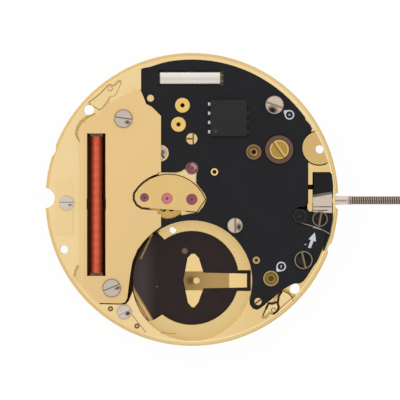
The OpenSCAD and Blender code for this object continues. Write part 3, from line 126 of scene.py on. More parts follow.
class Wave:
    """A number that changes over a surface: a shader socket with Python's operators."""

    def __init__(self, paint: "Paint", socket: bpy.types.NodeSocket) -> None:
        """Keeps the socket and the paint whose tree it is in."""
        self.paint = paint
        self.socket = socket

    def _math(self, operation: str, *values: Any) -> "Wave":
        """Adds one Math node on the values and gives its result."""
        made = self.paint.node("ShaderNodeMath", {"operation": operation}, dict(enumerate(values)))
        return Wave(self.paint, made.outputs[0])

    def __add__(self, other: Any) -> "Wave":
        """This plus the other."""
        return self._math("ADD", self, other)

    def __radd__(self, other: Any) -> "Wave":
        """The other plus this."""
        return self._math("ADD", other, self)

    def __sub__(self, other: Any) -> "Wave":
        """This less the other."""
        return self._math("SUBTRACT", self, other)

    def __rsub__(self, other: Any) -> "Wave":
        """The other less this."""
        return self._math("SUBTRACT", other, self)

    def __mul__(self, other: Any) -> "Wave":
        """This times the other."""
        return self._math("MULTIPLY", self, other)

    def __truediv__(self, other: Any) -> "Wave":
        """This over the other."""
        return self._math("DIVIDE", self, other)

    def __pow__(self, power: float) -> "Wave":
        """This to a power."""
        return self._math("POWER", self, power)

    def least(self, other: Any) -> "Wave":
        """The smaller of this and the other."""
        return self._math("MINIMUM", self, other)

    def most(self, other: Any) -> "Wave":
        """The larger of this and the other."""
        return self._math("MAXIMUM", self, other)

    def sine(self) -> "Wave":
        """The sine of this, in radians."""
        return self._math("SINE", self)

    def above(self, level: float, soft: float) -> "Wave":
        """Rises smoothly from 0 to 1 round a level.

        Args:
            level: value at which the result is a half.
            soft: half of the width of the rise.

        Returns:
            The mask, from 0 to 1.
        """
        made = self.paint.node("ShaderNodeMapRange", {"interpolation_type": "SMOOTHSTEP"},
                               {0: self, 1: level - soft, 2: level + soft, 3: 0.0, 4: 1.0})
        return Wave(self.paint, made.outputs[0])

    def below(self, level: float, soft: float) -> "Wave":
        """Falls smoothly from 1 to 0 round a level."""
        return 1.0 - self.above(level, soft)

    def between(self, low: float, high: float, soft: float) -> "Wave":
        """Is 1 from low to high and 0 outside, with soft ends."""
        return self.above(low, soft) * self.below(high, soft)


class Paint:
    """A node tree that is laid by calls: one material, or the world."""

    def __init__(self, tree: bpy.types.NodeTree) -> None:
        """Empties the tree and keeps it."""
        self.tree = tree
        self.tree.nodes.clear()
        self._axes: tuple[Wave, Wave, Wave] | None = None

    def node(self, kind: str, settings: dict[str, Any] | None = None,
             sockets: dict[Any, Any] | None = None) -> bpy.types.Node:
        """Adds one node.

        Args:
            kind: the node's type.
            settings: its properties, which are set first.
            sockets: values or links of its inputs, by name or place.

        Returns:
            The new node.
        """
        made = self.tree.nodes.new(kind)
        for name, value in (settings or {}).items():
            setattr(made, name, value)
        for key, value in (sockets or {}).items():
            self.plug(made.inputs[key], value)
        return made

    def plug(self, socket: bpy.types.NodeSocket, value: Any) -> None:
        """Links a wave or a socket to an input, or sets the input's own value."""
        if isinstance(value, Wave):
            self.tree.links.new(value.socket, socket)
        elif isinstance(value, bpy.types.NodeSocket):
            self.tree.links.new(value, socket)
        elif isinstance(value, tuple) and socket.type == "RGBA":
            socket.default_value = (*value, 1.0)
        else:
            socket.default_value = value

    def axes(self) -> tuple[Wave, Wave, Wave]:
        """The place on the piece along X, Y and Z, in millimetres from the centre of the hands."""
        if self._axes is None:
            place = self.node("ShaderNodeTexCoord").outputs["Object"]
            parts = self.node("ShaderNodeSeparateXYZ", {}, {0: place}).outputs
            self._axes = tuple(Wave(self, part) * 1000.0 for part in parts)
        return self._axes

    def away(self, centre: Spot) -> Wave:
        """Distance from an upright axis through a point, in millimetres."""
        x, y, _ = self.axes()
        return ((x - centre[0]) ** 2 + (y - centre[1]) ** 2) ** 0.5

    def nearest(self, centres: tuple[Spot, ...]) -> Wave:
        """Distance from the nearest of several upright axes, in millimetres."""
        found = self.away(centres[0])
        for centre in centres[1:]:
            found = found.least(self.away(centre))
        return found

    def noise(self, scale: float, stretch: tuple[float, float, float] = (1.0, 1.0, 1.0),
              detail: float = 2.0, seed: float = 0.0) -> Wave:
        """Soft noise from about 0 to 1.

        Args:
            scale: lumps in a millimetre.
            stretch: how much finer the noise is along each axis.
            detail: octaves.
            seed: shift of the pattern, in millimetres.

        Returns:
            The noise.
        """
        place = self.node("ShaderNodeTexCoord").outputs["Object"]
        turned = self.node("ShaderNodeMapping", {}, {
            "Vector": place, "Scale": tuple(1000.0 * part for part in stretch),
            "Location": (seed, seed * 0.7, seed * 1.3)})
        made = self.node("ShaderNodeTexNoise", {"noise_dimensions": "3D"}, {
            "Vector": turned.outputs[0], "Scale": scale, "Detail": detail, "Roughness": 0.55})
        return Wave(self, made.outputs[0])

    def blend(self, factor: Wave, low: Any, high: Any) -> bpy.types.NodeSocket:
        """The low colour where the factor is 0, and the high colour where it is 1."""
        made = self.node("ShaderNodeMix", {"data_type": "RGBA", "clamp_factor": True},
                         {0: factor, 6: low, 7: high})
        return made.outputs[2]

    def spots(self, shade: Any, spots: tuple[Spotted, ...]) -> Any:
        """A colour with small round marks on it.

        Args:
            shade: the colour under the marks.
            spots: X, Y, radius, softness and colour of each mark.

        Returns:
            The marked colour.
        """
        for across, along, radius, soft, colour in spots:
            shade = self.blend(self.away((across, along)).below(radius, soft), shade, colour)
        return shade

    def streak(self, start: Spot, end: Spot, width: float) -> Wave:
        """Is 1 on a straight line between two points, with soft sides and ends."""
        x, y, _ = self.axes()
        length = math.dist(start, end)
        cosine, sine = (end[0] - start[0]) / length, (end[1] - start[1]) / length
        along = (x - start[0]) * cosine + (y - start[1]) * sine
        across = (y - start[1]) * cosine - (x - start[0]) * sine
        return along.between(0.0, length, 0.03) * across.between(-width / 2, width / 2, 0.015)

    def chain(self, points: tuple[Spot, ...], width: float) -> Wave:
        """Is 1 on a bent line of some width with round ends, and 0 away from it.

        The distance from a segment is that from its point a + t (b - a), where t is held to 0..1.

        Args:
            points: the line's corners.
            width: its width in millimetres.

        Returns:
            The mask, from 0 to 1.
        """
        x, y, _ = self.axes()
        found = None
        for start, end in zip(points[:-1], points[1:]):
            length = math.dist(start, end)
            cosine, sine = (end[0] - start[0]) / length, (end[1] - start[1]) / length
            across, along = x - start[0], y - start[1]
            reach = (across * cosine + along * sine).most(0.0).least(length)
            away = ((across - reach * cosine) ** 2 + (along - reach * sine) ** 2) ** 0.5
            found = away if found is None else found.least(away)
        return found.below(width / 2, 0.03)

    def channels(self, shade: Any) -> Any:
        """A colour with painted shadows in each deep channel of the lower foot clamp, and a painted highlight
        on the bevel beside one.
        """
        for points, width, colour in CLAMP_SHADOWS_AND_HIGHLIGHT:
            shade = self.blend(self.chain(points, width), shade, colour)
        return shade

    def share(self, centres: tuple[Spot, ...], radii: tuple[float, ...]) -> Wave:
        """Distance from the nearest of several upright axes, as a share of its radius."""
        found = self.away(centres[0]) / radii[0]
        for centre, radius in zip(centres[1:], radii[1:]):
            found = found.least(self.away(centre) / radius)
        return found

    def relief(self, height: Wave, depth: float, edge: float) -> bpy.types.NodeSocket:
        """Normals of a surface with a relief and slightly rounded edges.

        Args:
            height: the relief, from 0 to 1.
            depth: height of the relief in millimetres.
            edge: radius of the rounded edges in millimetres, or 0 for sharp ones.

        Returns:
            The normal's socket.
        """
        sockets = {"Height": height, "Distance": depth * MM, "Strength": 1.0}
        if edge > 0.0:
            rounded = self.node("ShaderNodeBevel", {"samples": 6}, {"Radius": edge * MM})
            sockets["Normal"] = rounded.outputs[0]
        return self.node("ShaderNodeBump", {}, sockets).outputs[0]

    def surface(self, **values: Any) -> bpy.types.Node:
        """Adds the Principled shader with its output; each value is named after its socket."""
        sockets = {name.replace("_", " "): value for name, value in values.items() if value is not None}
        shader = self.node("ShaderNodeBsdfPrincipled", {}, sockets)
        self.node("ShaderNodeOutputMaterial", {}, {"Surface": shader.outputs[0]})
        return shader


def tint(colour: Rgb, by: float) -> Rgb:
    """A colour made lighter or darker by a factor."""
    return tuple(min(1.0, part * by) for part in colour)


@dataclass(frozen=True)
class Finish:
    """A surface finish. A subclass lays its own nodes."""

    name: str

    def lay(self, paint: Paint) -> None:
        """Lays the finish's nodes on a paint."""
        raise NotImplementedError

    def material(self) -> bpy.types.Material:
        """The finish as a material, made once; its name is kept apart from the record's slots."""
        title = f"{self.name}_finish"
        found = bpy.data.materials.get(title)
        if found is None:
            found = bpy.data.materials.new(title)
            found.use_nodes = True
            self.lay(Paint(found.node_tree))
        return found


@dataclass(frozen=True)
class Metal(Finish):
    """Worked metal.

    Attributes:
        colour: its reflection, in linear light.
        roughness: middle roughness.
        marks: how it was worked.
        grain: share by which the colour wavers.
        depth: depth of the marks in millimetres.
        edge: radius of its rounded edges in millimetres.
        centres: axes that turned marks run round.
        low_colour: the colour below a height.
        low_level: that height in millimetres.
        spots: small round marks, as X, Y, radius, softness and colour.
    """

    colour: Rgb
    roughness: float = 0.32
    marks: Marks = Marks.FROSTED
    grain: float = 0.06
    depth: float = 0.0015
    edge: float = 0.035
    centres: tuple[Spot, ...] = ((0.0, 0.0),)
    low_colour: Rgb | None = None
    low_level: float = 0.0
    spots: tuple[Spotted, ...] = ()

    def texture(self, paint: Paint) -> Wave:
        """The relief left by the tool, from about 0 to 1."""
        if self.marks in (Marks.BRUSHED_X, Marks.BRUSHED_Y):
            stretch = (0.06, 1.0, 1.0) if self.marks is Marks.BRUSHED_X else (1.0, 0.06, 1.0)
            return paint.noise(14.0, stretch, 3.0) * 0.8 + paint.noise(9.0) * 0.2
        if self.marks is Marks.TURNED:
            rings = (paint.nearest(self.centres) * 90.0 + paint.noise(3.0) * 4.0).sine() * 0.5 + 0.5
            return rings * 0.5 + paint.noise(10.0) * 0.5
        if self.marks is Marks.POLISHED:
            return paint.noise(2.5)
        return paint.noise(16.0, detail=3.0)

    def tone(self, paint: Paint, texture: Wave) -> Any:
        """The base colour: the metal's own, wavering with its marks and with slow clouds."""
        waver = texture * 0.6 + paint.noise(0.6, detail=1.0, seed=3.0) * 0.4
        shade = paint.blend(waver, tint(self.colour, 1.0 - 2.0 * self.grain),
                            tint(self.colour, 1.0 + 2.0 * self.grain))
        if self.low_colour is not None:
            _, _, z = paint.axes()
            shade = paint.blend(z.below(self.low_level, 0.02), shade, self.low_colour)
        return paint.spots(shade, self.spots)

    def share_of_metal(self, paint: Paint) -> Any:
        """How metallic each place looks, from 0 to 1."""
        return 1.0

    def lay(self, paint: Paint) -> None:
        """Lays the metal's nodes."""
        texture = self.texture(paint)
        paint.surface(Base_Color=self.tone(paint, texture), Metallic=self.share_of_metal(paint),
                      Roughness=texture * 0.10 + (self.roughness - 0.05),
                      Normal=paint.relief(texture, self.depth, self.edge))


@dataclass(frozen=True)
class RingedMetal(Metal):
    """Metal of turned heads and tubes, whose colour changes in rings.

    Attributes:
        radii: outer radius at each centre.
        rings: inner and outer share of the radius, and the colour, of each ring.
    """

    radii: tuple[float, ...] = ()
    rings: tuple[tuple[float, float, Rgb], ...] = ()

    def tone(self, paint: Paint, texture: Wave) -> Any:
        """The metal's colour with its rings."""
        shade = super().tone(paint, texture)
        share = paint.share(self.centres, self.radii)
        for inner, outer, colour in self.rings:
            shade = paint.blend(share.between(inner, outer, 0.05), shade, colour)
        return shade


@dataclass(frozen=True)
class SlottedMetal(RingedMetal):
    """Metal of slotted heads, with a soft dark or bright painted reflection in each polished face.

    Attributes:
        turns: angle of each slot in degrees.
        half_slot: half of the slot's width.
        slot_light_and_shade: the slot's two halves below and above its middle line, one painted lit and one
            painted in shade.
        reflections: place along and across the slot, size and softness of each head's painted reflection, as
        shares of its radius.
        reflection_colour: the painted reflection's colour.
    """

    turns: tuple[float, ...] = ()
    half_slot: float = 0.085
    slot_light_and_shade: tuple[Rgb, Rgb] = ((0.62, 0.54, 0.46), (0.16, 0.12, 0.10))
    reflections: tuple[tuple[float, float, float, float], ...] = ()
    reflection_colour: Rgb = (0.12, 0.10, 0.09)

    def tone(self, paint: Paint, texture: Wave) -> Any:
        """The metal's colour with its painted reflections, rings and the painted light and shade of its
        slots.
        """
        x, y, _ = paint.axes()
        shade = super().tone(paint, texture)
        for centre, radius, turn, image in zip(self.centres, self.radii, self.turns, self.reflections):
            cosine, sine = math.cos(math.radians(turn)), math.sin(math.radians(turn))
            along = (x - centre[0]) * (cosine / radius) + (y - centre[1]) * (sine / radius)
            across = (y - centre[1]) * (cosine / radius) - (x - centre[0]) * (sine / radius)
            far = ((along - image[0]) ** 2 * 0.6 + (across - image[1]) ** 2) ** 0.5
            inner = paint.away(centre).below(radius * 0.90, radius * 0.04)
            waver = paint.noise(6.0, seed=turn) * 0.12
            # the painted reflection in the polished face
            shown = (far + waver).below(image[2] + 0.06, image[3]) * inner
            shade = paint.blend(shown, shade, self.reflection_colour)
            edge = self.half_slot / radius
            # the slot, with one half painted lit and the other painted in shade
            slot = across.between(-edge, edge, 0.03) * paint.away(centre).below(radius, 0.01)
            shade = paint.blend(slot, shade, paint.blend(across.above(0.0, 0.04), *self.slot_light_and_shade))
        return shade


@dataclass(frozen=True)
class BridgeGilt(Metal):
    """Gilt of the bridge: its crescent, its paler lower plate and the dark line of painted shade in the
    groove between them.

    Attributes:
        lower_colour: the lower plate's colour.
        line_colour: the painted shade in the groove.
        levels: height under which the lower plate and the groove begin.
    """

    lower_colour: Rgb = (0.86, 0.66, 0.34)
    line_colour: Rgb = (0.085, 0.042, 0.012)
    levels: tuple[float, float] = (1.80, 1.668)

    def tone(self, paint: Paint, texture: Wave) -> Any:
        """The gilt by its height."""
        _, _, z = paint.axes()
        shade = paint.blend(z.below(self.levels[0], 0.02), super().tone(paint, texture), self.lower_colour)
        # painted shade in the groove round the crescent
        return paint.blend(z.between(1.5, self.levels[1], 0.01), shade, self.line_colour)


@dataclass(frozen=True)
class CanNickel(Metal):
    """Nickel of a drawn can along X, with a faint line along it and darker ends.

    Attributes:
        line: lower and upper edge of the line along Y.
        ends: where its two ends start to darken along X.
    """

    line: tuple[float, float] = (9.74, 9.82)
    ends: tuple[float, float] = (-2.56, 2.28)

    def tone(self, paint: Paint, texture: Wave) -> Any:
        """The nickel with its line and ends."""
        x, y, _ = paint.axes()
        shade = super().tone(paint, texture)
        shade = paint.blend(y.between(self.line[0], self.line[1], 0.05) * 0.5, shade, tint(self.colour, 0.72))
        return paint.blend(1.0 - x.between(self.ends[0], self.ends[1], 0.04), shade, tint(self.colour, 0.25))


@dataclass(frozen=True)
class CapPolish(Metal):
    """Black polish of the lever cap, with a painted highlight along its lower edge.

    Attributes:
        corners: start of each of the two straight parts of that edge.
        slopes: how much Y falls for each millimetre along X.
        line_colour: the painted highlight's colour.
    """

    corners: tuple[Spot, Spot] = ((8.65, -1.90), (10.31, -2.36))
    slopes: tuple[float, float] = (0.277, 0.53)
    line_colour: Rgb = (0.42, 0.36, 0.33)

    def tone(self, paint: Paint, texture: Wave) -> Any:
        """The black polish with the painted highlight along its edge."""
        x, y, _ = paint.axes()
        rise = [y - corner[1] + (x - corner[0]) * slope for corner, slope in zip(self.corners, self.slopes)]
        line = rise[0].most(rise[1]).between(0.0, 0.075, 0.02) * x.above(9.05, 0.35)
        return paint.blend(line * 0.8, super().tone(paint, texture), self.line_colour)


@dataclass(frozen=True)
class PlateGilt(Metal):
    """Frosted gilt of the main plate, which is deeper in its floors and to the right, with painted shade and
    highlights.

    Attributes:
        right_colour: the colour at the plate's right edge.
        floor_colour: the colour of the pockets and of the ledge.
        deep_colour: the colour of the lowest floors.
        line_colour: the colour of the polished turned lines on the rim, painted bright as a highlight on the
            right side only.
        boss: centre and radius of the raised round boss.
        boss_colour: the boss's colour.
        well: centre and radius of the battery well, which stays bright.
        cavity_shade_colour: painted shade in the closed cavities and the narrow gaps.
        groove_shade_colour: painted shade in the shallow grooves at the left.
        wall_shade_colour: painted shade, with the coil's painted reflection, on the wall left of the coil.
        wall: least and most X, then least and most Y, of that wall.
        toward: direction in which the gilt gets deeper, to the right and down.
        inside_r: radius of the plate inside its rim.
        grooves: the shallow grooves' right end along X, then their least and most height.
        gaps: the narrow gaps' left end along X, then their least and most height.
        seam: lower and upper edge of the gap along the cover's lower edge.
        cap: a place along X on the lever cap's lower edge, its slope, and the strip of painted shade beside
            it.
        stud: centre and radius of the painted shade on the seat round the lever's stud.
        deep_levels: least and most height of the two levels of closed cavities, which are painted in shade.
        well_rim: radii of the painted shade on the edge at the left of the well.
        sheen: least and most X, then least and most Y, of the floor beside the stem, which carries a painted
            shadow and sheen.
        shadow_and_sheen_colours: the floor's painted shadow and painted sheen beside the stem, from far to
            near.
        cracks: start, end and width of the dark seams beside the contact plate.
        crack_colour: their colour.
        glints: small painted highlights in the grooves round the bridge.
    """

    right_colour: Rgb = (0.80, 0.55, 0.22)
    floor_colour: Rgb = (0.80, 0.59, 0.27)
    deep_colour: Rgb = (0.55, 0.36, 0.12)
    line_colour: Rgb = (1.0, 0.88, 0.55)
    boss: tuple[float, float, float] = (10.33, 4.17, 1.34)
    boss_colour: Rgb = (0.68, 0.46, 0.18)
    well: tuple[float, float, float] = (0.0, -6.62, 4.94)
    cavity_shade_colour: Rgb = (0.022, 0.011, 0.005)
    groove_shade_colour: Rgb = (0.62, 0.42, 0.14)
    wall_shade_colour: Rgb = (0.062, 0.022, 0.010)
    wall: tuple[float, float, float, float] = (-8.95, -8.22, -6.40, 5.50)
    toward: Spot = (0.93, 0.36)
    inside_r: float = 11.38
    grooves: tuple[float, float, float] = (-7.60, 1.60, 1.86)
    gaps: tuple[float, float, float] = (-5.60, 1.56, 1.86)
    seam: Spot = (-8.58, -8.36)
    cap: tuple[float, float, float, float] = (8.65, 0.277, -2.20, -1.80)
    stud: tuple[float, float, float] = (8.75, -1.35, 0.86)
    deep_levels: tuple[Spot, Spot] = ((0.10, 0.47), (0.57, 1.42))
    well_rim: Spot = (4.78, 4.97)
    sheen: tuple[float, float, float, float] = (9.75, 11.55, 0.05, 0.85)
    shadow_and_sheen_colours: tuple[Rgb, Rgb] = ((0.035, 0.030, 0.030), (0.40, 0.35, 0.31))
    cracks: tuple[tuple[Spot, Spot, float], ...] = (((-4.95, -9.25), (-3.72, -10.80), 0.05),
                                                    ((-2.58, -10.85), (-1.28, -10.96), 0.04))
    crack_colour: Rgb = (0.16, 0.085, 0.03)
    glints: tuple[Spotted, ...] = ((-3.72, 1.49, 0.09, 0.05, (0.95, 0.92, 0.88)),
                                   (-2.40, -0.80, 0.13, 0.05, (0.72, 0.70, 0.68)))

    def inside(self, paint: Paint) -> Wave:
        """A mask of the plate inside its rim and outside the battery well."""
        in_rim = paint.away((0.0, 0.0)).below(self.inside_r, 0.04)
        return in_rim * paint.away(self.well[:2]).above(self.well[2], 0.02)

    def cavities(self, paint: Paint, shade: Any) -> Any:
        """Painted shade in the closed cavities, the gaps beside other parts and the shallow grooves."""
        x, y, z = paint.axes()
        inside = self.inside(paint)
        right, low, high = self.grooves
        grooves = z.below(high, 0.03) * z.above(low, 0.03) * x.below(right, 0.1) * inside
        shade = paint.blend(grooves * (0.55 + paint.noise(2.0) * 0.6), shade, self.groove_shade_colour)
        left, low, high = self.gaps
        beside = x.above(left, 0.1).most(y.between(*self.seam, 0.02))
        shade = paint.blend(z.between(low, high, 0.02) * beside * inside, shade, self.cavity_shade_colour)
        place, slope, low, high = self.cap
        cap_edge = (y + (x - place) * slope).between(low, high, 0.04) * x.between(8.3, 10.9, 0.1)
        slivers = paint.away(self.stud[:2]).below(self.stud[2], 0.04).most(cap_edge) * z.above(1.8, 0.02)
        rim = paint.away(self.well[:2]).between(*self.well_rim, 0.02) * z.below(1.72, 0.02)
        rim = rim * x.below(-2.2, 0.1) * y.between(-8.3, -2.6, 0.1)
        shade = paint.blend((slivers * 0.95).most(rim), shade, self.cavity_shade_colour)
        lower, upper = (z.between(*level, 0.02) for level in self.deep_levels)
        return paint.blend(lower.most(upper) * inside, shade, self.cavity_shade_colour)

    def walls(self, paint: Paint, shade: Any) -> Any:
        """Painted shadow and sheen on the floor beside the stem, and painted shade on the wall left of the
        coil.
        """
        x, y, z = paint.axes()
        near = paint.blend(y.below(0.45, 0.25), *self.shadow_and_sheen_colours)
        left, right, low, high = self.sheen
        sheen = x.between(left, right, 0.05) * y.between(low, high, 0.05) * z.below(1.5, 0.03)
        shade = paint.blend(sheen, shade, near)
        left, right, low, high = self.wall
        wall = x.below(right, 0.10) * z.below(1.88, 0.02) * y.between(low, high, 0.1) * self.inside(paint)
        return paint.blend(wall * x.above(left, 0.05), shade, self.wall_shade_colour)

    def outer_edge(self, paint: Paint, shade: Any, side: Wave) -> Any:
        """The deeper outer edge of the flange, and the painted highlight on its polished turned lines."""
        _, _, z = paint.axes()
        out = paint.away((0.0, 0.0))
        shade = paint.blend(out.above(11.66, 0.03) * 0.5, shade, tint(self.right_colour, 0.90))
        shade = paint.blend(paint.streak(*FOLD) * z.above(1.5, 0.05), shade, FOLD_COLOUR)
        for crack in self.cracks:
            shade = paint.blend(paint.streak(*crack) * 0.85, shade, self.crack_colour)
        # painted glints, then the painted shadows and highlight round the lower foot clamp
        shade = paint.channels(paint.spots(shade, self.glints))
        # the turned lines, painted bright as a highlight towards the right
        lines = out.between(11.50, 11.58, 0.03).most(out.between(11.74, 11.80, 0.03))
        return paint.blend(lines * side.above(2.0, 4.0) * 0.85, shade, self.line_colour)

    def tone(self, paint: Paint, texture: Wave) -> Any:
        """The gilt by height, side and distance from the centre."""
        x, y, z = paint.axes()
        out = paint.away((0.0, 0.0))
        side = x * self.toward[0] - y * self.toward[1]
        shade = paint.blend(side.above(7.0, 4.5) * 0.9, super().tone(paint, texture), self.right_colour)
        shade = paint.blend(z.below(1.55, 0.05) * out.below(11.5, 0.1), shade, self.floor_colour)
        shade = paint.blend(z.below(0.55, 0.03) * out.below(11.5, 0.1), shade, self.deep_colour)
        shade = self.walls(paint, self.cavities(paint, shade))
        boss = paint.away(self.boss[:2]).below(self.boss[2] - 0.03, 0.02) * z.above(1.6, 0.05)
        shade = paint.blend(boss * out.below(11.45, 0.05), shade, self.boss_colour)
        return self.outer_edge(paint, shade, side)


@dataclass(frozen=True)
class CoverGilt(Metal):
    """Brushed pale gilt of the coil cover, lighter towards the upper left, with a painted highlight on the
    bevel at its left edge.

    Attributes:
        strip: the strip's left and right edge along X.
        bevel_highlight_colour: the colour of the painted highlight on the bevel.
    """

    strip: tuple[float, float] = (-9.05, -8.74)
    bevel_highlight_colour: Rgb = (0.86, 0.62, 0.30)

    def tone(self, paint: Paint, texture: Wave) -> Any:
        """The gilt, lighter towards the upper left, with the painted bevel highlight and the painted shade
        line beside it.
        """
        x, y, _ = paint.axes()
        shade = super().tone(paint, texture)
        slow = (x * 0.7 - y * 0.7).above(0.0, 8.0)
        shade = paint.blend(slow * 0.8, shade, tint(self.colour, 0.95))
        shade = paint.blend((1.0 - slow) * 0.8, shade, tint(self.colour, 1.06))
        shade = paint.blend(x.between(self.strip[0], self.strip[1], 0.03) * 0.7, shade, self.bevel_highlight_colour)
        # a painted shade line where the bevel meets the face
        line = x.between(self.strip[1], self.strip[1] + 0.05, 0.02)
        return paint.blend(line * 0.12, shade, tint(self.colour, 0.7))


@dataclass(frozen=True)
class StemSteel(Metal):
    """Steel of the stem, with painted shade in its thread's roots and a painted dark reflection along its
    neck.

    Attributes:
        thread_from: where the thread starts along X.
        root_r: radius under which the thread's roots are painted in shade.
        shade_and_reflection_colour: the painted shade of its roots, also used for the neck's painted
            reflection.
        crest_colour: the colour of its crests.
        neck: start and end of the neck along X.
        line: lower and upper edge along Y of the neck's painted dark reflection.
    """

    thread_from: float = 12.70
    root_r: float = 0.333
    shade_and_reflection_colour: Rgb = (0.07, 0.05, 0.036)
    crest_colour: Rgb = (0.42, 0.33, 0.26)
    neck: Spot = (11.66, 12.60)
    line: Spot = (-0.13, -0.07)

    def tone(self, paint: Paint, texture: Wave) -> Any:
        """The steel with its thread, the painted shade in its roots and the painted reflection on its neck.
        """
        x, y, z = paint.axes()
        out = ((y - STEM_AXIS[0]) ** 2 + (z - STEM_AXIS[1]) ** 2) ** 0.5
        thread = x.above(self.thread_from, 0.02)
        shade = paint.blend(thread, super().tone(paint, texture), self.crest_colour)
        shade = paint.blend(thread * out.below(self.root_r, 0.008), shade, self.shade_and_reflection_colour)
        line = x.between(*self.neck, 0.03) * y.between(*self.line, 0.02)
        return paint.blend(line * 0.75, shade, self.shade_and_reflection_colour)


@dataclass(frozen=True)
class JumperSteel(Metal):
    """Steel of the spring plate, whose sloped edge over the stem is painted a dull grey as a stand-in for its
    sheen.

    Attributes:
        slope: height under which, and place along Y from which, the edge slopes.
        slope_sheen_colour: the painted grey of the slope, standing in for its sheen.
    """

    slope: Spot = (1.488, 0.10)
    slope_sheen_colour: Rgb = (0.40, 0.36, 0.33)

    def on_slope(self, paint: Paint) -> Wave:
        """Is 1 on the slope."""
        _, y, z = paint.axes()
        return z.below(self.slope[0], 0.008) * y.above(self.slope[1], 0.01)

    def share_of_metal(self, paint: Paint) -> Any:
        """Metal, but for the slope, which would only mirror the dark block beside it."""
        return 1.0 - self.on_slope(paint)

    def tone(self, paint: Paint, texture: Wave) -> Any:
        """The steel with the painted grey sheen of its slope."""
        return paint.blend(self.on_slope(paint), super().tone(paint, texture), self.slope_sheen_colour)


@dataclass(frozen=True)
class LeadTin(Metal):
    """Tinned leads, of which those on the shaded side are painted nearly black as shadow.

    Attributes:
        shadow_from: lower X and upper Y of the leads in painted shadow.
        shadow_colour: their painted shadow.
    """

    shadow_from: Spot = (4.25, 8.60)
    shadow_colour: Rgb = (0.045, 0.036, 0.032)

    def tone(self, paint: Paint, texture: Wave) -> Any:
        """The tin with its leads in painted shadow."""
        x, y, _ = paint.axes()
        dark = x.above(self.shadow_from[0], 0.03) * y.below(self.shadow_from[1], 0.05)
        return paint.blend(dark, super().tone(paint, texture), self.shadow_colour)


@dataclass(frozen=True)
class ClampGilt(Metal):
    """Gilt of the foot clamps with painted shadows in each deep channel round the lower one, and a painted
    bevel highlight.
    """

    def tone(self, paint: Paint, texture: Wave) -> Any:
        """The gilt with the painted shadows and highlight round the lower clamp."""
        return paint.channels(super().tone(paint, texture))


@dataclass(frozen=True)
class SpringGilt(Metal):
    """Gilt spring under the cell: bright tips, painted shade on its sloping middle, and a bright dimple.

    Attributes:
        middle: the sloping middle's lower and upper edge along Y.
        arm_end: where the arm lies flat again, along X.
        slope_shade_colour: the painted shade of the sloping middle, darker to the left.
        hollow_at: centre of the darkest painted shade beside the dimple.
        hollow_shade_colour: the colour of that painted shade.
        dimple: centre and radius of the dimple.
    """

    middle: tuple[float, float] = (-7.42, -5.87)
    arm_end: float = 3.05
    slope_shade_colour: Rgb = (0.42, 0.27, 0.10)
    hollow_at: Spot = (-0.12, -6.62)
    hollow_shade_colour: Rgb = (0.16, 0.075, 0.03)
    dimple: tuple[float, float, float] = (0.39, -6.62, 0.26)

    def tone(self, paint: Paint, texture: Wave) -> Any:
        """The gilt with painted shade on its slope and its dimple."""
        x, y, _ = paint.axes()
        shade = super().tone(paint, texture)
        slope = y.between(self.middle[0], self.middle[1], 0.03) * x.below(self.arm_end, 0.03)
        shade = paint.blend(slope, shade, paint.blend(x.above(0.6, 1.6), tint(self.slope_shade_colour, 0.72),
                                                      tint(self.slope_shade_colour, 1.12)))
        shade = paint.blend(paint.away(self.hollow_at).below(0.30, 0.26) * slope, shade, self.hollow_shade_colour)
        dimple = paint.away(self.dimple[:2]).below(self.dimple[2], 0.05)
        return paint.blend(dimple, shade, tint(self.colour, 0.92))


@dataclass(frozen=True)
class Jewel(Finish):
    """Synthetic ruby.

    Attributes:
        colour: the stone's own colour.
        pale: the colour of the paler stone.
        pale_at: centre of the paler stone.
        centres: centres of all the stones.
        radii: radii of the stones, in the same order.
        own: X, Y, radius, softness and colour where a stone has its own colour.
        lit: centre and radius of a painted highlight on one side of a stone.
        highlight_colour: the painted highlight's colour.
        rims: the rim's colour on a dark and on the pale stone.
        cores: the oil cup's colour on a dark and on the pale stone.
    """

    colour: Rgb
    pale: Rgb
    pale_at: Spot
    centres: tuple[Spot, ...]
    radii: tuple[float, ...]
    own: tuple[Spotted, ...] = ((-3.84, 0.15, 0.5, 0.02, (0.19, 0.062, 0.115)),
                                (0.0, 0.0, 0.6, 0.02, (0.26, 0.052, 0.068)))
    lit: tuple[float, float, float] = (0.22, 2.75, 0.30)
    highlight_colour: Rgb = (0.66, 0.34, 0.38)
    rims: tuple[Rgb, Rgb] = ((0.50, 0.13, 0.17), (0.78, 0.33, 0.30))
    cores: tuple[Rgb, Rgb] = ((0.30, 0.16, 0.20), (0.42, 0.18, 0.16))

    def lay(self, paint: Paint) -> None:
        """Lays a glassy stone that is lighter at its rim and in its oil cup."""
        ring = paint.share(self.centres, self.radii)
        paler = paint.away(self.pale_at).below(0.6, 0.02)
        stone = paint.spots(paint.blend(paler, self.colour, self.pale), self.own)
        rim_colour = paint.blend(paler, *self.rims)
        shade = paint.blend(ring.above(0.86, 0.10), stone, rim_colour)
        shade = paint.blend(ring.below(0.30, 0.10) * 0.6, shade, paint.blend(paler, *self.cores))
        shade = paint.blend(paint.noise(3.0) * 0.35, shade, tint(self.colour, 0.55))
        shade = paint.blend(ring.between(0.48, 0.60, 0.05) * 0.35, shade, rim_colour)
        # a painted highlight on the bright side of the third stone
        lit = paint.away(self.lit[:2]).below(self.lit[2], 0.10) * ring.between(0.45, 0.95, 0.06)
        shade = paint.blend(lit * 0.8, shade, self.highlight_colour)
        paint.surface(Base_Color=shade, Roughness=paint.noise(5.0) * 0.08 + 0.24, Specular_IOR_Level=0.3,
                      Coat_Weight=0.08, Coat_Roughness=0.3,
                      Normal=paint.relief(paint.noise(4.0), 0.001, 0.02))


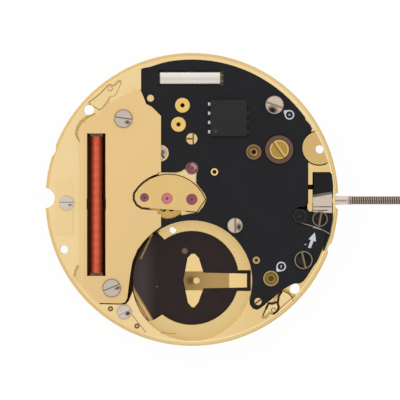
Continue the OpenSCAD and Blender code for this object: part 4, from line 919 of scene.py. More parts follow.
@dataclass(frozen=True)
class Lacquer(Finish):
    """Dull or glossy plastic, lacquer, film or ceramic.

    Attributes:
        colour: its colour.
        second: the colour that its mottling turns to.
        mottle: lumps of the mottling in a millimetre.
        roughness: middle roughness.
        specular: strength of its reflection.
        coat: weight of a clear coat.
        depth: depth of its relief in millimetres.
        edge: radius of its rounded edges in millimetres.
        spots: small round marks, as X, Y, radius, softness and colour.
    """

    colour: Rgb
    second: Rgb
    mottle: float = 4.0
    roughness: float = 0.45
    specular: float = 0.3
    coat: float = 0.0
    depth: float = 0.002
    edge: float = 0.03
    spots: tuple[Spotted, ...] = ()

    def tone(self, paint: Paint) -> Any:
        """The mottled colour with its marks."""
        lumps = paint.noise(self.mottle, detail=3.0) * 0.6 + paint.noise(0.4, detail=1.0, seed=5.0) * 0.4
        return paint.spots(paint.blend(lumps.above(0.5, 0.25), self.colour, self.second), self.spots)

    def lay(self, paint: Paint) -> None:
        """Lays the lacquer's nodes."""
        fine = paint.noise(self.mottle * 3.0, detail=2.0, seed=1.0)
        paint.surface(Base_Color=self.tone(paint), Roughness=fine * 0.16 + (self.roughness - 0.08),
                      Specular_IOR_Level=self.specular, Coat_Weight=self.coat, Coat_Roughness=0.12,
                      Normal=paint.relief(fine, self.depth, self.edge))


@dataclass(frozen=True)
class Film(Lacquer):
    """Dark insulating film with a grey sheen at its left.

    Attributes:
        sheen: the colour of the sheen.
        sheen_from: where the sheen starts to fade and where it has gone, along X.
        tab: a point on the edge of the gilt tab at the lower left, and the direction away from the tab.
        tab_colours: the tab's face and its darker folds.
        folds: where the first fold starts and ends and where the second starts, from the tab's edge.
    """

    sheen: Rgb = (0.070, 0.052, 0.046)
    sheen_from: tuple[float, float] = (-4.4, -2.7)
    tab: tuple[Spot, Spot] = ((-4.45, -7.60), (0.860, 0.510))
    tab_colours: tuple[Rgb, Rgb] = ((0.84, 0.60, 0.28), (0.42, 0.26, 0.09))
    folds: tuple[float, float, float] = (-0.42, -0.30, -0.10)

    def tone(self, paint: Paint) -> Any:
        """The film's colour with its sheen, the fold beside it and the tab."""
        x, y, _ = paint.axes()
        middle = sum(self.sheen_from) / 2
        shade = paint.blend(x.below(middle, middle - self.sheen_from[0]), super().tone(paint), self.sheen)
        shade = paint.blend(paint.streak(*FOLD), shade, FOLD_COLOUR)
        (edge_x, edge_y), (away_x, away_y) = self.tab
        across = (x - edge_x) * away_x + (y - edge_y) * away_y
        folds = across.between(*self.folds[:2], 0.03).most(across.above(self.folds[2], 0.03))
        metal = paint.blend(folds, *self.tab_colours)
        return paint.blend(across.below(0.0, 0.02), shade, metal)


@dataclass(frozen=True)
class Board(Lacquer):
    """Black solder mask whose copper tracks show as a faint relief."""

    def lay(self, paint: Paint) -> None:
        """Lays the mask with its tracks."""
        x, y, _ = paint.axes()
        fine = paint.noise(self.mottle * 3.0, detail=2.0, seed=1.0)
        bend = paint.noise(0.35, detail=1.0, seed=9.0) * 9.0
        tracks = ((x * 0.9 + y * 0.5 + bend) * 2.2).sine().above(0.55, 0.25)
        shade = paint.blend(tracks * 0.45, self.tone(paint), tint(self.colour, 1.7))
        paint.surface(Base_Color=shade, Roughness=fine * 0.14 + self.roughness,
                      Specular_IOR_Level=self.specular,
                      Normal=paint.relief(fine * 0.3 + tracks * 0.7, self.depth, self.edge))


@dataclass(frozen=True)
class Enamel(Finish):
    """Enamelled copper wire.

    Attributes:
        colour: the wire's colour.
        dull: the colour where the enamel is duller.
    """

    colour: Rgb
    dull: Rgb

    def lay(self, paint: Paint) -> None:
        """Lays a coated, half metallic wire."""
        _, y, _ = paint.axes()
        strands = (y * 9.0 + paint.noise(1.5) * 5.0).sine() * 0.25 + 0.5
        waver = strands * 0.5 + paint.noise(5.0, (1.0, 2.0, 1.0)) * 0.5
        paint.surface(Base_Color=paint.blend(waver.above(0.5, 0.3), self.dull, self.colour), Metallic=0.4,
                      Roughness=paint.noise(6.0) * 0.15 + 0.30, Specular_IOR_Level=0.2,
                      Coat_Weight=0.05, Coat_Roughness=0.3,
                      Normal=paint.relief(paint.noise(20.0), 0.0008, 0.0))


@dataclass(frozen=True)
class Skin:
    """A closed surface: a ring of points carried from station to station.

    Attributes:
        rings: the points in millimetres, as stations by points round the ring by three.
        loop: True where the last station joins the first, and False where both ends are closed by a fan.
        hub: middle of the end fans across X and Y, or None for each ring's own mean.
    """

    rings: np.ndarray
    loop: bool = False
    hub: Spot | None = None

    def triangles(self) -> tuple[np.ndarray, np.ndarray]:
        """Points and outward triangles of the surface.

        A point's index is its station times the ring's length plus its place round the ring. Each
        cell of that grid is two triangles, and an open end is a fan round its hub. The signed volume
        is the sum of p0 . (p1 x p2) / 6, and where it is negative every triangle is turned round.

        Returns:
            The points, one row each, and the triangles, three indexes each.
        """
        stations, around, _ = self.rings.shape
        points = self.rings.reshape(-1, 3)
        row = np.arange(stations if self.loop else stations - 1)[:, None]
        place = np.arange(around)[None, :]
        ahead = (place + 1) % around
        a = row * around + place
        b = row * around + ahead
        c = (row + 1) % stations * around + ahead
        d = (row + 1) % stations * around + place
        faces = [np.stack([a, b, c], -1).reshape(-1, 3), np.stack([a, c, d], -1).reshape(-1, 3)]
        if not self.loop:
            hubs = self.rings[[0, -1]].mean(1)
            if self.hub is not None:
                hubs[:, :2] = self.hub
            near, far = (np.full(around, len(points) + end) for end in (0, 1))
            points = np.vstack([points, hubs])
            last = (stations - 1) * around
            faces.append(np.stack([near, ahead[0], place[0]], -1))
            faces.append(np.stack([far, last + place[0], last + ahead[0]], -1))
        tris = np.vstack(faces)
        corner = points[tris]
        volume = np.einsum("ij,ij->", corner[:, 0], np.cross(corner[:, 1], corner[:, 2]))
        return points, tris if volume > 0 else tris[:, ::-1]


def turned(profile: list[Spot], centre: Spot, steps: int) -> Skin:
    """A closed profile carried round an upright axis: x = cx + r cos t, y = cy + r sin t, z = height.

    Args:
        profile: radius and height of each corner, in order round the section.
        centre: the axis.
        steps: stations round the axis.

    Returns:
        The closed skin.
    """
    section = np.array(profile)
    angle = np.linspace(0.0, 2 * math.pi, steps, endpoint=False)[:, None]
    across = centre[0] + section[None, :, 0] * np.cos(angle)
    along = centre[1] + section[None, :, 0] * np.sin(angle)
    up = np.broadcast_to(section[None, :, 1], across.shape)
    return Skin(np.stack([across, along, up], -1), loop=True)


def eased(radius: float, high: float, edge: tuple[float, float, float, float]) -> list[Spot]:
    """The rounded edge of a turned face, as radius and height of its three corners.

    Args:
        radius: the outer radius.
        high: the face's height.
        edge: how far its start lies inside the radius, how far its middle lies inside the radius
            and under the face, and how far its end lies under the face.

    Returns:
        The corners, from the face to the side.
    """
    start, middle_in, middle_down, end = edge
    return [(radius - start, high), (radius - middle_in, high - middle_down), (radius, high - end)]


def plated(outline: list[Spot], low: float, high: float, hub: Spot | None = None) -> Skin:
    """A flat outline lifted from low to high; all of its rim is seen from the hub.

    Args:
        outline: corners in order.
        low: lower height.
        high: upper height.
        hub: the point that the two faces fan out from.

    Returns:
        The closed skin.
    """
    flat = np.array(outline, float)
    rings = np.stack([np.column_stack([flat, np.full(len(flat), z)]) for z in (low, high)])
    return Skin(rings, hub=hub)


def wound(path: np.ndarray, radius: float, sides: int) -> Skin:
    """A round section carried along a path that winds round an axis along Y.

    The section's frame at each station is the tangent, the outward direction from the winding's
    axis with its part along the tangent taken away, and their cross product.

    Args:
        path: stations of the wire's middle line, relative to the winding's axis.
        radius: radius of the wire.
        sides: points round the section.

    Returns:
        The skin, relative to the same axis.
    """
    ahead = np.gradient(path, axis=0)
    ahead /= np.linalg.norm(ahead, axis=1, keepdims=True)
    out = path * (1.0, 0.0, 1.0)
    out -= np.einsum("ij,ij->i", out, ahead)[:, None] * ahead
    out /= np.linalg.norm(out, axis=1, keepdims=True)
    side = np.cross(ahead, out)
    angle = np.linspace(0.0, 2 * math.pi, sides, endpoint=False)[None, :, None]
    return Skin(path[:, None] + radius * (np.cos(angle) * out[:, None] + np.sin(angle) * side[:, None]))


class Shop:
    """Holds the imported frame, and makes and dresses pieces on it."""

    def __init__(self, frame: dict[str, Any]) -> None:
        """Keeps the frame and starts the list of dressed nodes."""
        self.frame = frame
        self.dressed: set[str] = set()

    def dress(self, finish: Finish, *nodes: str) -> None:
        """Gives a finish to CAD nodes.

        Args:
            finish: the finish.
            nodes: names of the nodes.
        """
        for name in nodes:
            piece = self.frame["nodes"][name]
            for place in piece.material_slots:
                place.link = "OBJECT"
                place.material = finish.material()
            self.dressed.add(name)
            log.info("dressed %s in %s", name, finish.name)

    def make(self, name: str, skins: list[Skin], finish: Finish, body: str, slot: str,
             replaces: tuple[str, ...] = ()) -> bpy.types.Object:
        """Makes one piece of several skins.

        Args:
            name: the piece's name.
            skins: its closed surfaces.
            finish: its finish.
            body: the CAD body that it rides on.
            slot: the record's material slot; not used.
            replaces: CAD nodes that it stands for.

        Returns:
            The new object.
        """
        parts = [skin.triangles() for skin in skins]
        starts = np.cumsum([0] + [len(points) for points, _ in parts])
        points = np.vstack([points for points, _ in parts])
        tris = np.vstack([tris + start for (_, tris), start in zip(parts, starts)])
        mesh = bpy.data.meshes.new(name)
        mesh.vertices.add(len(points))
        mesh.vertices.foreach_set("co", (points * MM).astype(np.float32).ravel())
        mesh.loops.add(tris.size)
        mesh.loops.foreach_set("vertex_index", tris.astype(np.int32).ravel())
        mesh.polygons.add(len(tris))
        mesh.polygons.foreach_set("loop_start", np.arange(0, tris.size, 3, dtype=np.int32))
        mesh.update(calc_edges=True)
        mesh.polygons.foreach_set("use_smooth", np.ones(len(tris), dtype=bool))
        mesh.set_sharp_from_angle(angle=math.radians(SHARP_FROM))
        mesh.materials.append(finish.material())
        piece = bpy.data.objects.new(name, mesh)
        bpy.context.scene.collection.objects.link(piece)
        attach(piece, body)
        if replaces:
            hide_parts(*replaces)
            self.dressed.update(replaces)
        log.info("made %s: %d triangles on %s", name, len(tris), body)
        return piece


GILT: Rgb = (0.90, 0.68, 0.35)
STEEL: Rgb = (0.60, 0.51, 0.44)
DARK_STEEL: Rgb = (0.018, 0.015, 0.014)
BRASS: Rgb = (0.62, 0.39, 0.11)


@dataclass
class Plate:
    """The main plate with what is fixed in it and on its dial side.

    Attributes:
        shop: where its pieces are made.
    """

    shop: Shop

    def build(self) -> None:
        """Dresses the plate and its fittings."""
        dress = self.shop.dress
        dress(PlateGilt("plate_gilt", GILT, 0.36, Marks.FROSTED, 0.045, 0.002, 0.05,
                        spots=((-1.54, -2.49, 0.42, 0.10, (0.60, 0.42, 0.17)),)), "main_plate")
        dress(Metal("tube_brass", (0.72, 0.50, 0.19), 0.22, Marks.TURNED), "centre_tube", "motion_posts")
        dress(Lacquer("plate_ruby", (0.25, 0.04, 0.08), (0.42, 0.08, 0.14), 3.0, 0.12, 0.5, 0.5),
              "plate_jewels")
        dress(Metal("dial_side_gilt", (0.84, 0.64, 0.33), 0.34, Marks.BRUSHED_X), "dial_side_cover")
        dress(Metal("dial_cover_screw_steel", STEEL, 0.25, Marks.BRUSHED_X), "dial_cover_screws")


@dataclass
class Bridge:
    """The train bridge with its jewels, and the going train under it.

    Attributes:
        shop: where its pieces are made.
        stones: centre, radius, lower and upper height of each jewel.
        pivot_r: radius of a jewel's hole.
        cup_share: radius of the oil cup as a share of the jewel's.
        cup_depth: depth of the oil cup.
        edge: a jewel's rounded edge, as in eased.
        pale: which stone is the pale one.
    """

    shop: Shop
    stones: tuple[tuple[float, float, float, float, float], ...] = (
        (-3.84, 0.15, 0.36, 1.64, 2.05), (-2.01, 0.07, 0.46, 1.64, 2.05), (0.0, 0.0, 0.46, 1.64, 2.05),
        (0.0, 2.50, 0.485, 1.42, 1.68))
    pivot_r: float = 0.09
    cup_share: float = 0.62
    cup_depth: float = 0.05
    edge: tuple[float, float, float, float] = (0.05, 0.015, 0.012, 0.045)
    pale: int = 1

    def stone(self, across: float, along: float, radius: float, low: float, high: float) -> Skin:
        """One jewel: a flat ring, a rounded rim and an oil cup that is a parabola down to the hole.

        The cup's height at radius r is high - depth (1 - ((r - hole) / (cup - hole))^2).

        Returns:
            The jewel's skin.
        """
        cup = radius * self.cup_share
        bowl = [(self.pivot_r + step * (cup - self.pivot_r), high - self.cup_depth * (1 - step ** 2))
                for step in np.linspace(0.0, 1.0, 9)]
        rim = eased(radius, high, self.edge)
        return turned([(self.pivot_r, low), *bowl, *rim, (radius, low)], (across, along), 72)

    def build(self) -> None:
        """Makes the jewels and dresses the bridge and the wheels."""
        centres = tuple(stone[:2] for stone in self.stones)
        ruby = Jewel("bridge_ruby", (0.21, 0.050, 0.085), (0.60, 0.17, 0.17), centres[self.pale], centres,
                     tuple(stone[2] for stone in self.stones))
        self.shop.make("oil_cup_jewels", [self.stone(*stone) for stone in self.stones], ruby, "frame",
                       "ruby", ("bridge_jewels",))
        dress = self.shop.dress
        dress(BridgeGilt("bridge_gilt", (0.78, 0.54, 0.22), 0.34, Marks.FROSTED, 0.035, 0.0015, 0.05),
              "train_bridge")
        dress(Metal("wheel_brass", BRASS, 0.28, Marks.TURNED, centres=(centres[1],)), "intermediate_wheel")
        dress(Metal("train_brass", (0.72, 0.49, 0.18), 0.28, Marks.TURNED), "seconds_wheel", "centre_wheel")
        dress(Metal("third_brass", (0.72, 0.49, 0.18), 0.28, Marks.TURNED, centres=(centres[3],)),
              "third_wheel")
        dress(Metal("pinion_steel", (0.13, 0.075, 0.085), 0.30, Marks.TURNED, 0.03, 0.0006, 0.0,
                    low_colour=(0.66, 0.62, 0.58), low_level=1.40),
              "intermediate_pinion", "seconds_arbor", "third_pinion", "rotor_pinion")
        dress(Lacquer("magnet_grey", (0.10, 0.10, 0.11), (0.16, 0.16, 0.17), 8.0, 0.5, 0.5),
              "rotor_magnet")


@dataclass
class Motor:
    """The stator and the coil with its wound layer, under the coil cover.

    Attributes:
        shop: where its pieces are made.
        axis: X and Z of the coil's axis.
        middle: the coil's middle along Y.
        length: wound length.
        body_r: radius of the inner layers.
        wire_r: radius of the wire.
        crest_r: radius over the outer layer.
        turns: turns of the outer layer.
        turn_steps: stations along one turn.
        waver: how far the wire lies under the crest at the most.
        cheek_r: radius of the end cheeks.
        cheek_t: thickness of the end cheeks.
        chamfer: chamfer of the end cheeks.
        around: points round the coil's axis.
    """

    shop: Shop
    axis: Spot = (-7.75, 1.20)
    middle: float = -0.43
    length: float = 10.90
    body_r: float = 0.462
    wire_r: float = 0.0245
    crest_r: float = 0.5005
    turns: int = 220
    turn_steps: int = 22
    waver: float = 0.004
    cheek_r: float = 0.516
    cheek_t: float = 0.10
    chamfer: float = 0.02
    around: int = 40

    def placed(self, skin: Skin) -> Skin:
        """A skin moved from the coil's own axis to its place."""
        return Skin(skin.rings + (self.axis[0], self.middle, self.axis[1]), skin.loop)

    def barrel(self, stations: list[Spot]) -> Skin:
        """A body turned round the coil's axis: x = r sin t, z = r cos t at each station's y.

        Args:
            stations: place along Y and radius of each station.

        Returns:
            The closed skin, in place.
        """
        line = np.array(stations)
        angle = np.linspace(0.0, 2 * math.pi, self.around, endpoint=False)[None, :]
        ring = line[:, 1:2]
        along = np.broadcast_to(line[:, 0:1], (len(line), self.around))
        return self.placed(Skin(np.stack([ring * np.sin(angle), along, ring * np.cos(angle)], -1)))

    def layer(self) -> Skin:
        """The outer layer: one wire on x = r sin t, z = r cos t, with y growing evenly with t.

        The radius wavers by a few microns from turn to turn, as hand-guided wire does.

        Returns:
            The wire's skin, in place.
        """
        t = np.linspace(0.0, 2 * math.pi * self.turns, self.turns * self.turn_steps + 1)
        span = self.length - 4 * self.wire_r
        sink = 0.5 + 0.5 * np.sin(t * 0.137) * np.cos(t * 0.031)
        seat = self.crest_r - self.wire_r - self.waver * sink
        path = np.stack([seat * np.sin(t), span * (t / t[-1] - 0.5), seat * np.cos(t)], -1)
        return self.placed(wound(path, self.wire_r, 6))

    def build(self) -> None:
        """Makes the coil and dresses the magnetic circuit."""
        half, cut = self.length / 2, self.chamfer
        skins = [self.layer(), self.barrel([(-half, self.body_r), (half, self.body_r)])]
        for side in (-1, 1):
            skins.append(self.barrel([(side * half, self.cheek_r - cut),
                                      (side * (half + cut), self.cheek_r),
                                      (side * (half + self.cheek_t - cut), self.cheek_r),
                                      (side * (half + self.cheek_t), self.cheek_r - cut)]))
        enamel = Enamel("copper_enamel", (0.82, 0.155, 0.078), (0.68, 0.118, 0.056))
        self.shop.make("wound_coil", skins, enamel, "frame", "copper_enamel",
                       ("coil_winding", "coil_outer_layer"))
        self.shop.dress(Metal("core_iron", (0.24, 0.17, 0.12), 0.45, Marks.BRUSHED_X), "coil_core", "stator")


@dataclass
class Cover:
    """The coil cover and its two screws.

    Attributes:
        shop: where its pieces are dressed.
        screws: places of the two screws.
        pits: places of three pricked marks.
    """

    shop: Shop
    screws: tuple[Spot, ...] = ((-5.55, 6.55), (-6.50, -7.19))
    pits: tuple[Spot, ...] = ((-6.93, 7.15), (-6.76, 6.89), (-6.89, 6.63))

    def build(self) -> None:
        """Dresses the cover and its screws."""
        pits = tuple((*place, 0.05, 0.02, (0.20, 0.12, 0.04)) for place in self.pits)
        self.shop.dress(CoverGilt("cover_gilt", (0.80, 0.56, 0.26), 0.36, Marks.BRUSHED_Y, 0.025, 0.0012,
                                  0.05, spots=pits), "coil_cover")
        # The dark ring at the edge of each head is a painted shadow at its foot.
        self.shop.dress(SlottedMetal(
            "cover_screw_steel", STEEL, 0.24, Marks.BRUSHED_X, 0.05, 0.001, 0.03, self.screws,
            radii=(0.74, 0.74), rings=((0.93, 1.10, (0.16, 0.10, 0.06)),), turns=(-8.0, 22.0),
            reflections=((0.50, -0.32, 0.20, 0.14), (0.62, -0.16, 0.24, 0.14))), "cover_screws")


@dataclass
class Electronics:
    """The circuit board with its parts, its printed signs and its turned tubes.

    Attributes:
        shop: where its pieces are made.
        seat: lower face of the board.
        top: upper face of the board.
        terminals: X, Y, radius and hole radius of the motor's terminals.
        tubes: X, Y, radius and hole radius of the contact tubes.
        tube_head: height of a tube's head over the board.
        face_share: radius of a tube's dished face as a share of the tube's.
        neck_share: radius of a tube's neck as a share of the tube's.
        edge: a tube's rounded edge, as in eased.
        lift: distance of a tube's flange from the board.
        floor: play round a bore's disc of painted shade, and its lower and upper height over the board's
            lower face.
        ring: outer and inner radius of a printed ring.
        ring_points: points round a printed ring.
        print_seat: distance of the print from the board.
        ink: height of the print over the board.
    """

    shop: Shop
    seat: float = 1.70
    top: float = 1.88
    terminals: tuple[tuple[float, float, float, float], ...] = (
        (-0.755, 7.64, 0.62, 0.16), (-1.08, 6.09, 0.62, 0.16))
    tubes: tuple[tuple[float, float, float, float], ...] = (
        (1.84, 2.23, 0.31, 0.14), (5.03, 3.85, 0.62, 0.16), (5.24, -4.94, 0.31, 0.12),
        (6.43, -6.42, 0.63, 0.22))
    tube_head: float = 0.12
    face_share: float = 0.80
    neck_share: float = 0.60
    edge: tuple[float, float, float, float] = (0.05, 0.012, 0.012, 0.05)
    lift: float = 0.001
    floor: tuple[float, float, float] = (0.003, 0.001, 0.02)
    ring: Spot = (0.385, 0.285)
    ring_points: int = 72
    print_seat: float = 0.0005
    ink: float = 0.008

    def tube(self, across: float, along: float, radius: float, hole: float, dish: float) -> Skin:
        """A flanged tube: a neck in the board, a rounded flange, and a face that dips to the hole.

        The face's height at radius r is top - dish cos^2 of a quarter turn from the hole to the
        face's radius, so that it is flat at its rim and steep at its middle.

        Returns:
            The tube's skin.
        """
        high = self.top + self.tube_head
        face_r, neck_r = radius * self.face_share, radius * self.neck_share
        face = [(hole + step * (face_r - hole), high - dish * math.cos(step * math.pi / 2) ** 2)
                for step in np.linspace(0.0, 1.0, 7)]
        under = self.top + self.lift
        flange = [*eased(radius, high, self.edge), (radius, under)]
        neck = [(neck_r, under), (neck_r, self.seat), (hole, self.seat)]
        return turned([*face, *flange, *neck], (across, along), 56)

    def bore_shade_disc(self, across: float, along: float, hole: float) -> Skin:
        """A dark disc of painted shade that closes a tube's bore just over the board's lower face."""
        play, low, high = self.floor
        angle = np.linspace(0.0, 2 * math.pi, 32, endpoint=False)
        reach = hole - play
        rim = np.column_stack([across + reach * np.cos(angle), along + reach * np.sin(angle)])
        return plated(rim, self.seat + low, self.seat + high)

    def ring_sign(self, centre: Spot, corner: Spot) -> Skin:
        """A printed ring with one corner drawn out towards a point.

        Its outer radius is r (1 + k w^14), where w is the cosine of the angle from the corner,
        no less than 0, and k is the corner's distance over r, less 1.

        Args:
            centre: the ring's centre.
            corner: the corner's tip.

        Returns:
            The ring's skin.
        """
        outer, inner = self.ring
        angle = np.linspace(0.0, 2 * math.pi, self.ring_points, endpoint=False)
        toward = math.atan2(corner[1] - centre[1], corner[0] - centre[0])
        reach = math.dist(centre, corner) / outer - 1.0
        rim = outer * (1.0 + reach * np.maximum(np.cos(angle - toward), 0.0) ** 14)
        low, high = self.top + self.print_seat, self.top + self.ink
        bore = np.full(self.ring_points, inner)
        radius = np.stack([bore, rim, rim, bore], -1)
        up = np.broadcast_to(np.array([low, low, high, high]), radius.shape)
        return Skin(np.stack([centre[0] + radius * np.cos(angle)[:, None],
                              centre[1] + radius * np.sin(angle)[:, None], up], -1), loop=True)

    def bar_sign(self, centre: Spot, width: float, height: float) -> Skin:
        """A printed bar round a centre."""
        x, y, a, b = centre[0], centre[1], width / 2, height / 2
        return plated([(x - a, y - b), (x + a, y - b), (x + a, y + b), (x - a, y + b)],
                      self.top + self.print_seat, self.top + self.ink)

    def signs(self) -> list[Skin]:
        """The plus, the minus and the arrow, which are general signs."""
        plus, minus = (7.93, 6.87), (7.26, -5.45)
        arrow = [(9.99, -2.68), (10.09, -3.42), (9.90, -3.36), (9.66, -3.96), (9.43, -3.92), (9.66, -3.31),
                 (9.49, -3.21)]
        return [self.ring_sign(plus, (7.48, 7.20)), self.bar_sign(plus, 0.20, 0.06),
                self.bar_sign(plus, 0.06, 0.17), self.ring_sign(minus, (6.90, -5.84)),
                self.bar_sign(minus, 0.08, 0.22), self.bar_sign((9.23, -3.66), 0.16, 0.06),
                plated(arrow, self.top + self.print_seat, self.top + self.ink, (9.80, -3.31))]

    def fit_tubes(self) -> None:
        """Makes the terminals and the contact tubes, each with its own brass."""
        make = self.shop.make
        pair = tuple(tube[:2] for tube in self.terminals)
        gold = RingedMetal("terminal_gilt", (0.86, 0.58, 0.17), 0.30, Marks.TURNED, 0.06, 0.002, 0.0, pair,
                           radii=(0.62, 0.62), rings=((0.0, 0.29, (0.10, 0.045, 0.015)),
                                                      (0.95, 1.10, (0.30, 0.17, 0.05))))
        make("gilt_terminals", [self.tube(*size, 0.02) for size in self.terminals], gold, "frame",
             "gilt", ("motor_terminals",))
        brasses = (
            ("brown_tube", 1, 0.09, "tube_brown_brass", (0.20, 0.115, 0.045), (0.34, 0.18, 0.003),
             ((0.0, 0.30, (0.035, 0.010, 0.006)), (0.34, 0.47, (0.42, 0.27, 0.13)),
              (0.50, 0.62, (0.12, 0.065, 0.025)), (0.90, 1.10, (0.33, 0.21, 0.095)))),
            ("olive_tube", 3, 0.05, "tube_olive_brass", (0.21, 0.145, 0.035), (0.30, 0.14, 0.003),
             ((0.0, 0.58, (0.29, 0.20, 0.058)), (0.0, 0.24, (0.27, 0.12, 0.035)),
              (0.58, 0.66, (0.12, 0.08, 0.02)), (0.86, 1.10, (0.50, 0.38, 0.16)))),
            ("ring_tube", 0, 0.02, "ring_tube_gilt", (0.90, 0.66, 0.32), (0.26, 0.06, 0.002),
             ((0.0, 0.56, (0.13, 0.045, 0.018)), (0.94, 1.10, (0.42, 0.24, 0.09)))),
            ("small_tube", 2, 0.02, "small_tube_brass", (0.44, 0.30, 0.13), (0.30, 0.08, 0.002),
             ((0.0, 0.46, (0.26, 0.14, 0.045)), (0.70, 0.88, (0.56, 0.41, 0.21)),
              (0.92, 1.10, (0.26, 0.17, 0.07)))))
        for name, number, dish, title, colour, (rough, contrast, depth), rings in brasses:
            tube = self.tubes[number]
            brass = RingedMetal(title, colour, rough, Marks.TURNED, contrast, depth, 0.0, (tube[:2],),
                                radii=(tube[2],), rings=rings)
            replaced = ("contact_tubes",) if name == "brown_tube" else ()
            make(name, [self.tube(*tube, dish)], brass, "frame", "dark_brass", replaced)

    def fit_bores_and_signs(self) -> None:
        """Makes the dark discs of painted shade in the tubes' bores, and the printed signs."""
        make = self.shop.make
        bores = [(*tube[:2], tube[3]) for tube in (*self.terminals, *self.tubes)]
        # dark discs stand for the shade down each bore, browner in some
        make("bore_shade_discs", [self.bore_shade_disc(*bore) for bore in bores],
             Lacquer("bore_shadow", (0.010, 0.004, 0.003), (0.014, 0.006, 0.004), 6.0, 0.7, 0.1,
                     spots=((6.43, -6.42, 0.30, 0.02, (0.20, 0.115, 0.030)),
                            (5.24, -4.94, 0.20, 0.02, (0.24, 0.13, 0.045)),
                            (5.03, 3.85, 0.30, 0.02, (0.085, 0.020, 0.012)),
                            (1.84, 2.23, 0.30, 0.02, (0.10, 0.035, 0.014)),
                            (-1.08, 6.09, 0.30, 0.02, (0.15, 0.065, 0.022)))),
             "frame", "dark_brass")
        make("printed_signs", self.signs(),
             Lacquer("white_ink", (0.58, 0.61, 0.66), (0.50, 0.53, 0.58), 9.0, 0.6, 0.2, depth=0.001,
                     edge=0.0), "frame", "tin")

    def build(self) -> None:
        """Makes the tubes and signs and dresses the board's parts."""
        self.fit_tubes()
        self.fit_bores_and_signs()
        dress = self.shop.dress
        dress(Board("board_mask", (0.0048, 0.0045, 0.0062), (0.0075, 0.0070, 0.0090), 5.0, 0.42, 0.20,
                    depth=0.002), "circuit_board")
        dress(Lacquer("chip_package", (0.009, 0.008, 0.010), (0.015, 0.014, 0.015), 9.0, 0.5, 0.25,
                      depth=0.003, spots=((1.93, 5.55, 0.13, 0.03, (0.045, 0.043, 0.045)),)),
              "integrated_circuit")
        dress(LeadTin("lead_tin", (0.60, 0.55, 0.50), 0.34, Marks.BRUSHED_X), "chip_leads", "crystal_leads")
        dress(CanNickel("can_nickel", (0.78, 0.72, 0.66), 0.34, Marks.BRUSHED_X, 0.05, 0.002, 0.04),
              "quartz_crystal")
        dress(Lacquer("trimmer_ceramic", (0.135, 0.072, 0.052), (0.105, 0.055, 0.040), 6.0, 0.5, 0.2),
              "trimmer_body")
        # The trimmer's bright image is a painted highlight, and its slot has a painted shaded half and a
        # painted lit half.
        dress(SlottedMetal("trimmer_brass", (0.46, 0.28, 0.065), 0.28, Marks.TURNED, 0.12, 0.003, 0.05,
                           ((7.10, 4.05),), radii=(0.80,), rings=((0.84, 0.93, (0.80, 0.56, 0.22)),),
                           turns=(-55.0,), half_slot=0.14,
                           slot_light_and_shade=((0.30, 0.17, 0.035), (0.78, 0.54, 0.19)),
                           reflections=((0.70, 0.0, 0.12, 0.12),), reflection_colour=(1.0, 0.82, 0.42)),
              "trimmer_rotor")
        # The rivets are painted dark below their faces, as shade in their slots.
        dress(RingedMetal("rivet_gilt", (0.80, 0.59, 0.27), 0.30, Marks.TURNED, 0.06, 0.001, 0.03,
                          ((-3.35, 8.21), (0.0, 4.92), (5.38, -8.29)), low_colour=(0.05, 0.025, 0.01),
                          low_level=1.95, radii=(0.29, 0.47, 0.30),
                          rings=((0.93, 1.10, (0.36, 0.22, 0.08)),)), "board_rivets")
        dress(SlottedMetal("board_screw_steel", (0.64, 0.53, 0.42), 0.22, Marks.BRUSHED_X, 0.08, 0.001, 0.04,
                           ((6.72, 7.67), (3.51, -2.12)), radii=(0.74, 0.62),
                           rings=((0.93, 1.10, (0.30, 0.24, 0.20)),), turns=(-20.0, 90.0),
                           slot_light_and_shade=((0.24, 0.17, 0.12), (0.42, 0.32, 0.24)),
                           reflections=((-0.02, -0.62, 0.42, 0.30), (-0.20, -0.52, 0.34, 0.34)),
                           reflection_colour=(0.022, 0.018, 0.016)), "board_screws")
        dress(SlottedMetal("bridge_screw_steel", (0.58, 0.48, 0.44), 0.24, Marks.BRUSHED_X, 0.10, 0.001, 0.04,
                           ((-2.55, 3.76),), radii=(0.52,), rings=((0.94, 1.10, (0.30, 0.22, 0.12)),),
                           turns=(-52.0,), slot_light_and_shade=((0.05, 0.045, 0.04), (0.12, 0.12, 0.13)),
                           reflections=((0.10, 0.42, 0.26, 0.20),), reflection_colour=(0.10, 0.10, 0.11)),
              "bridge_screw")


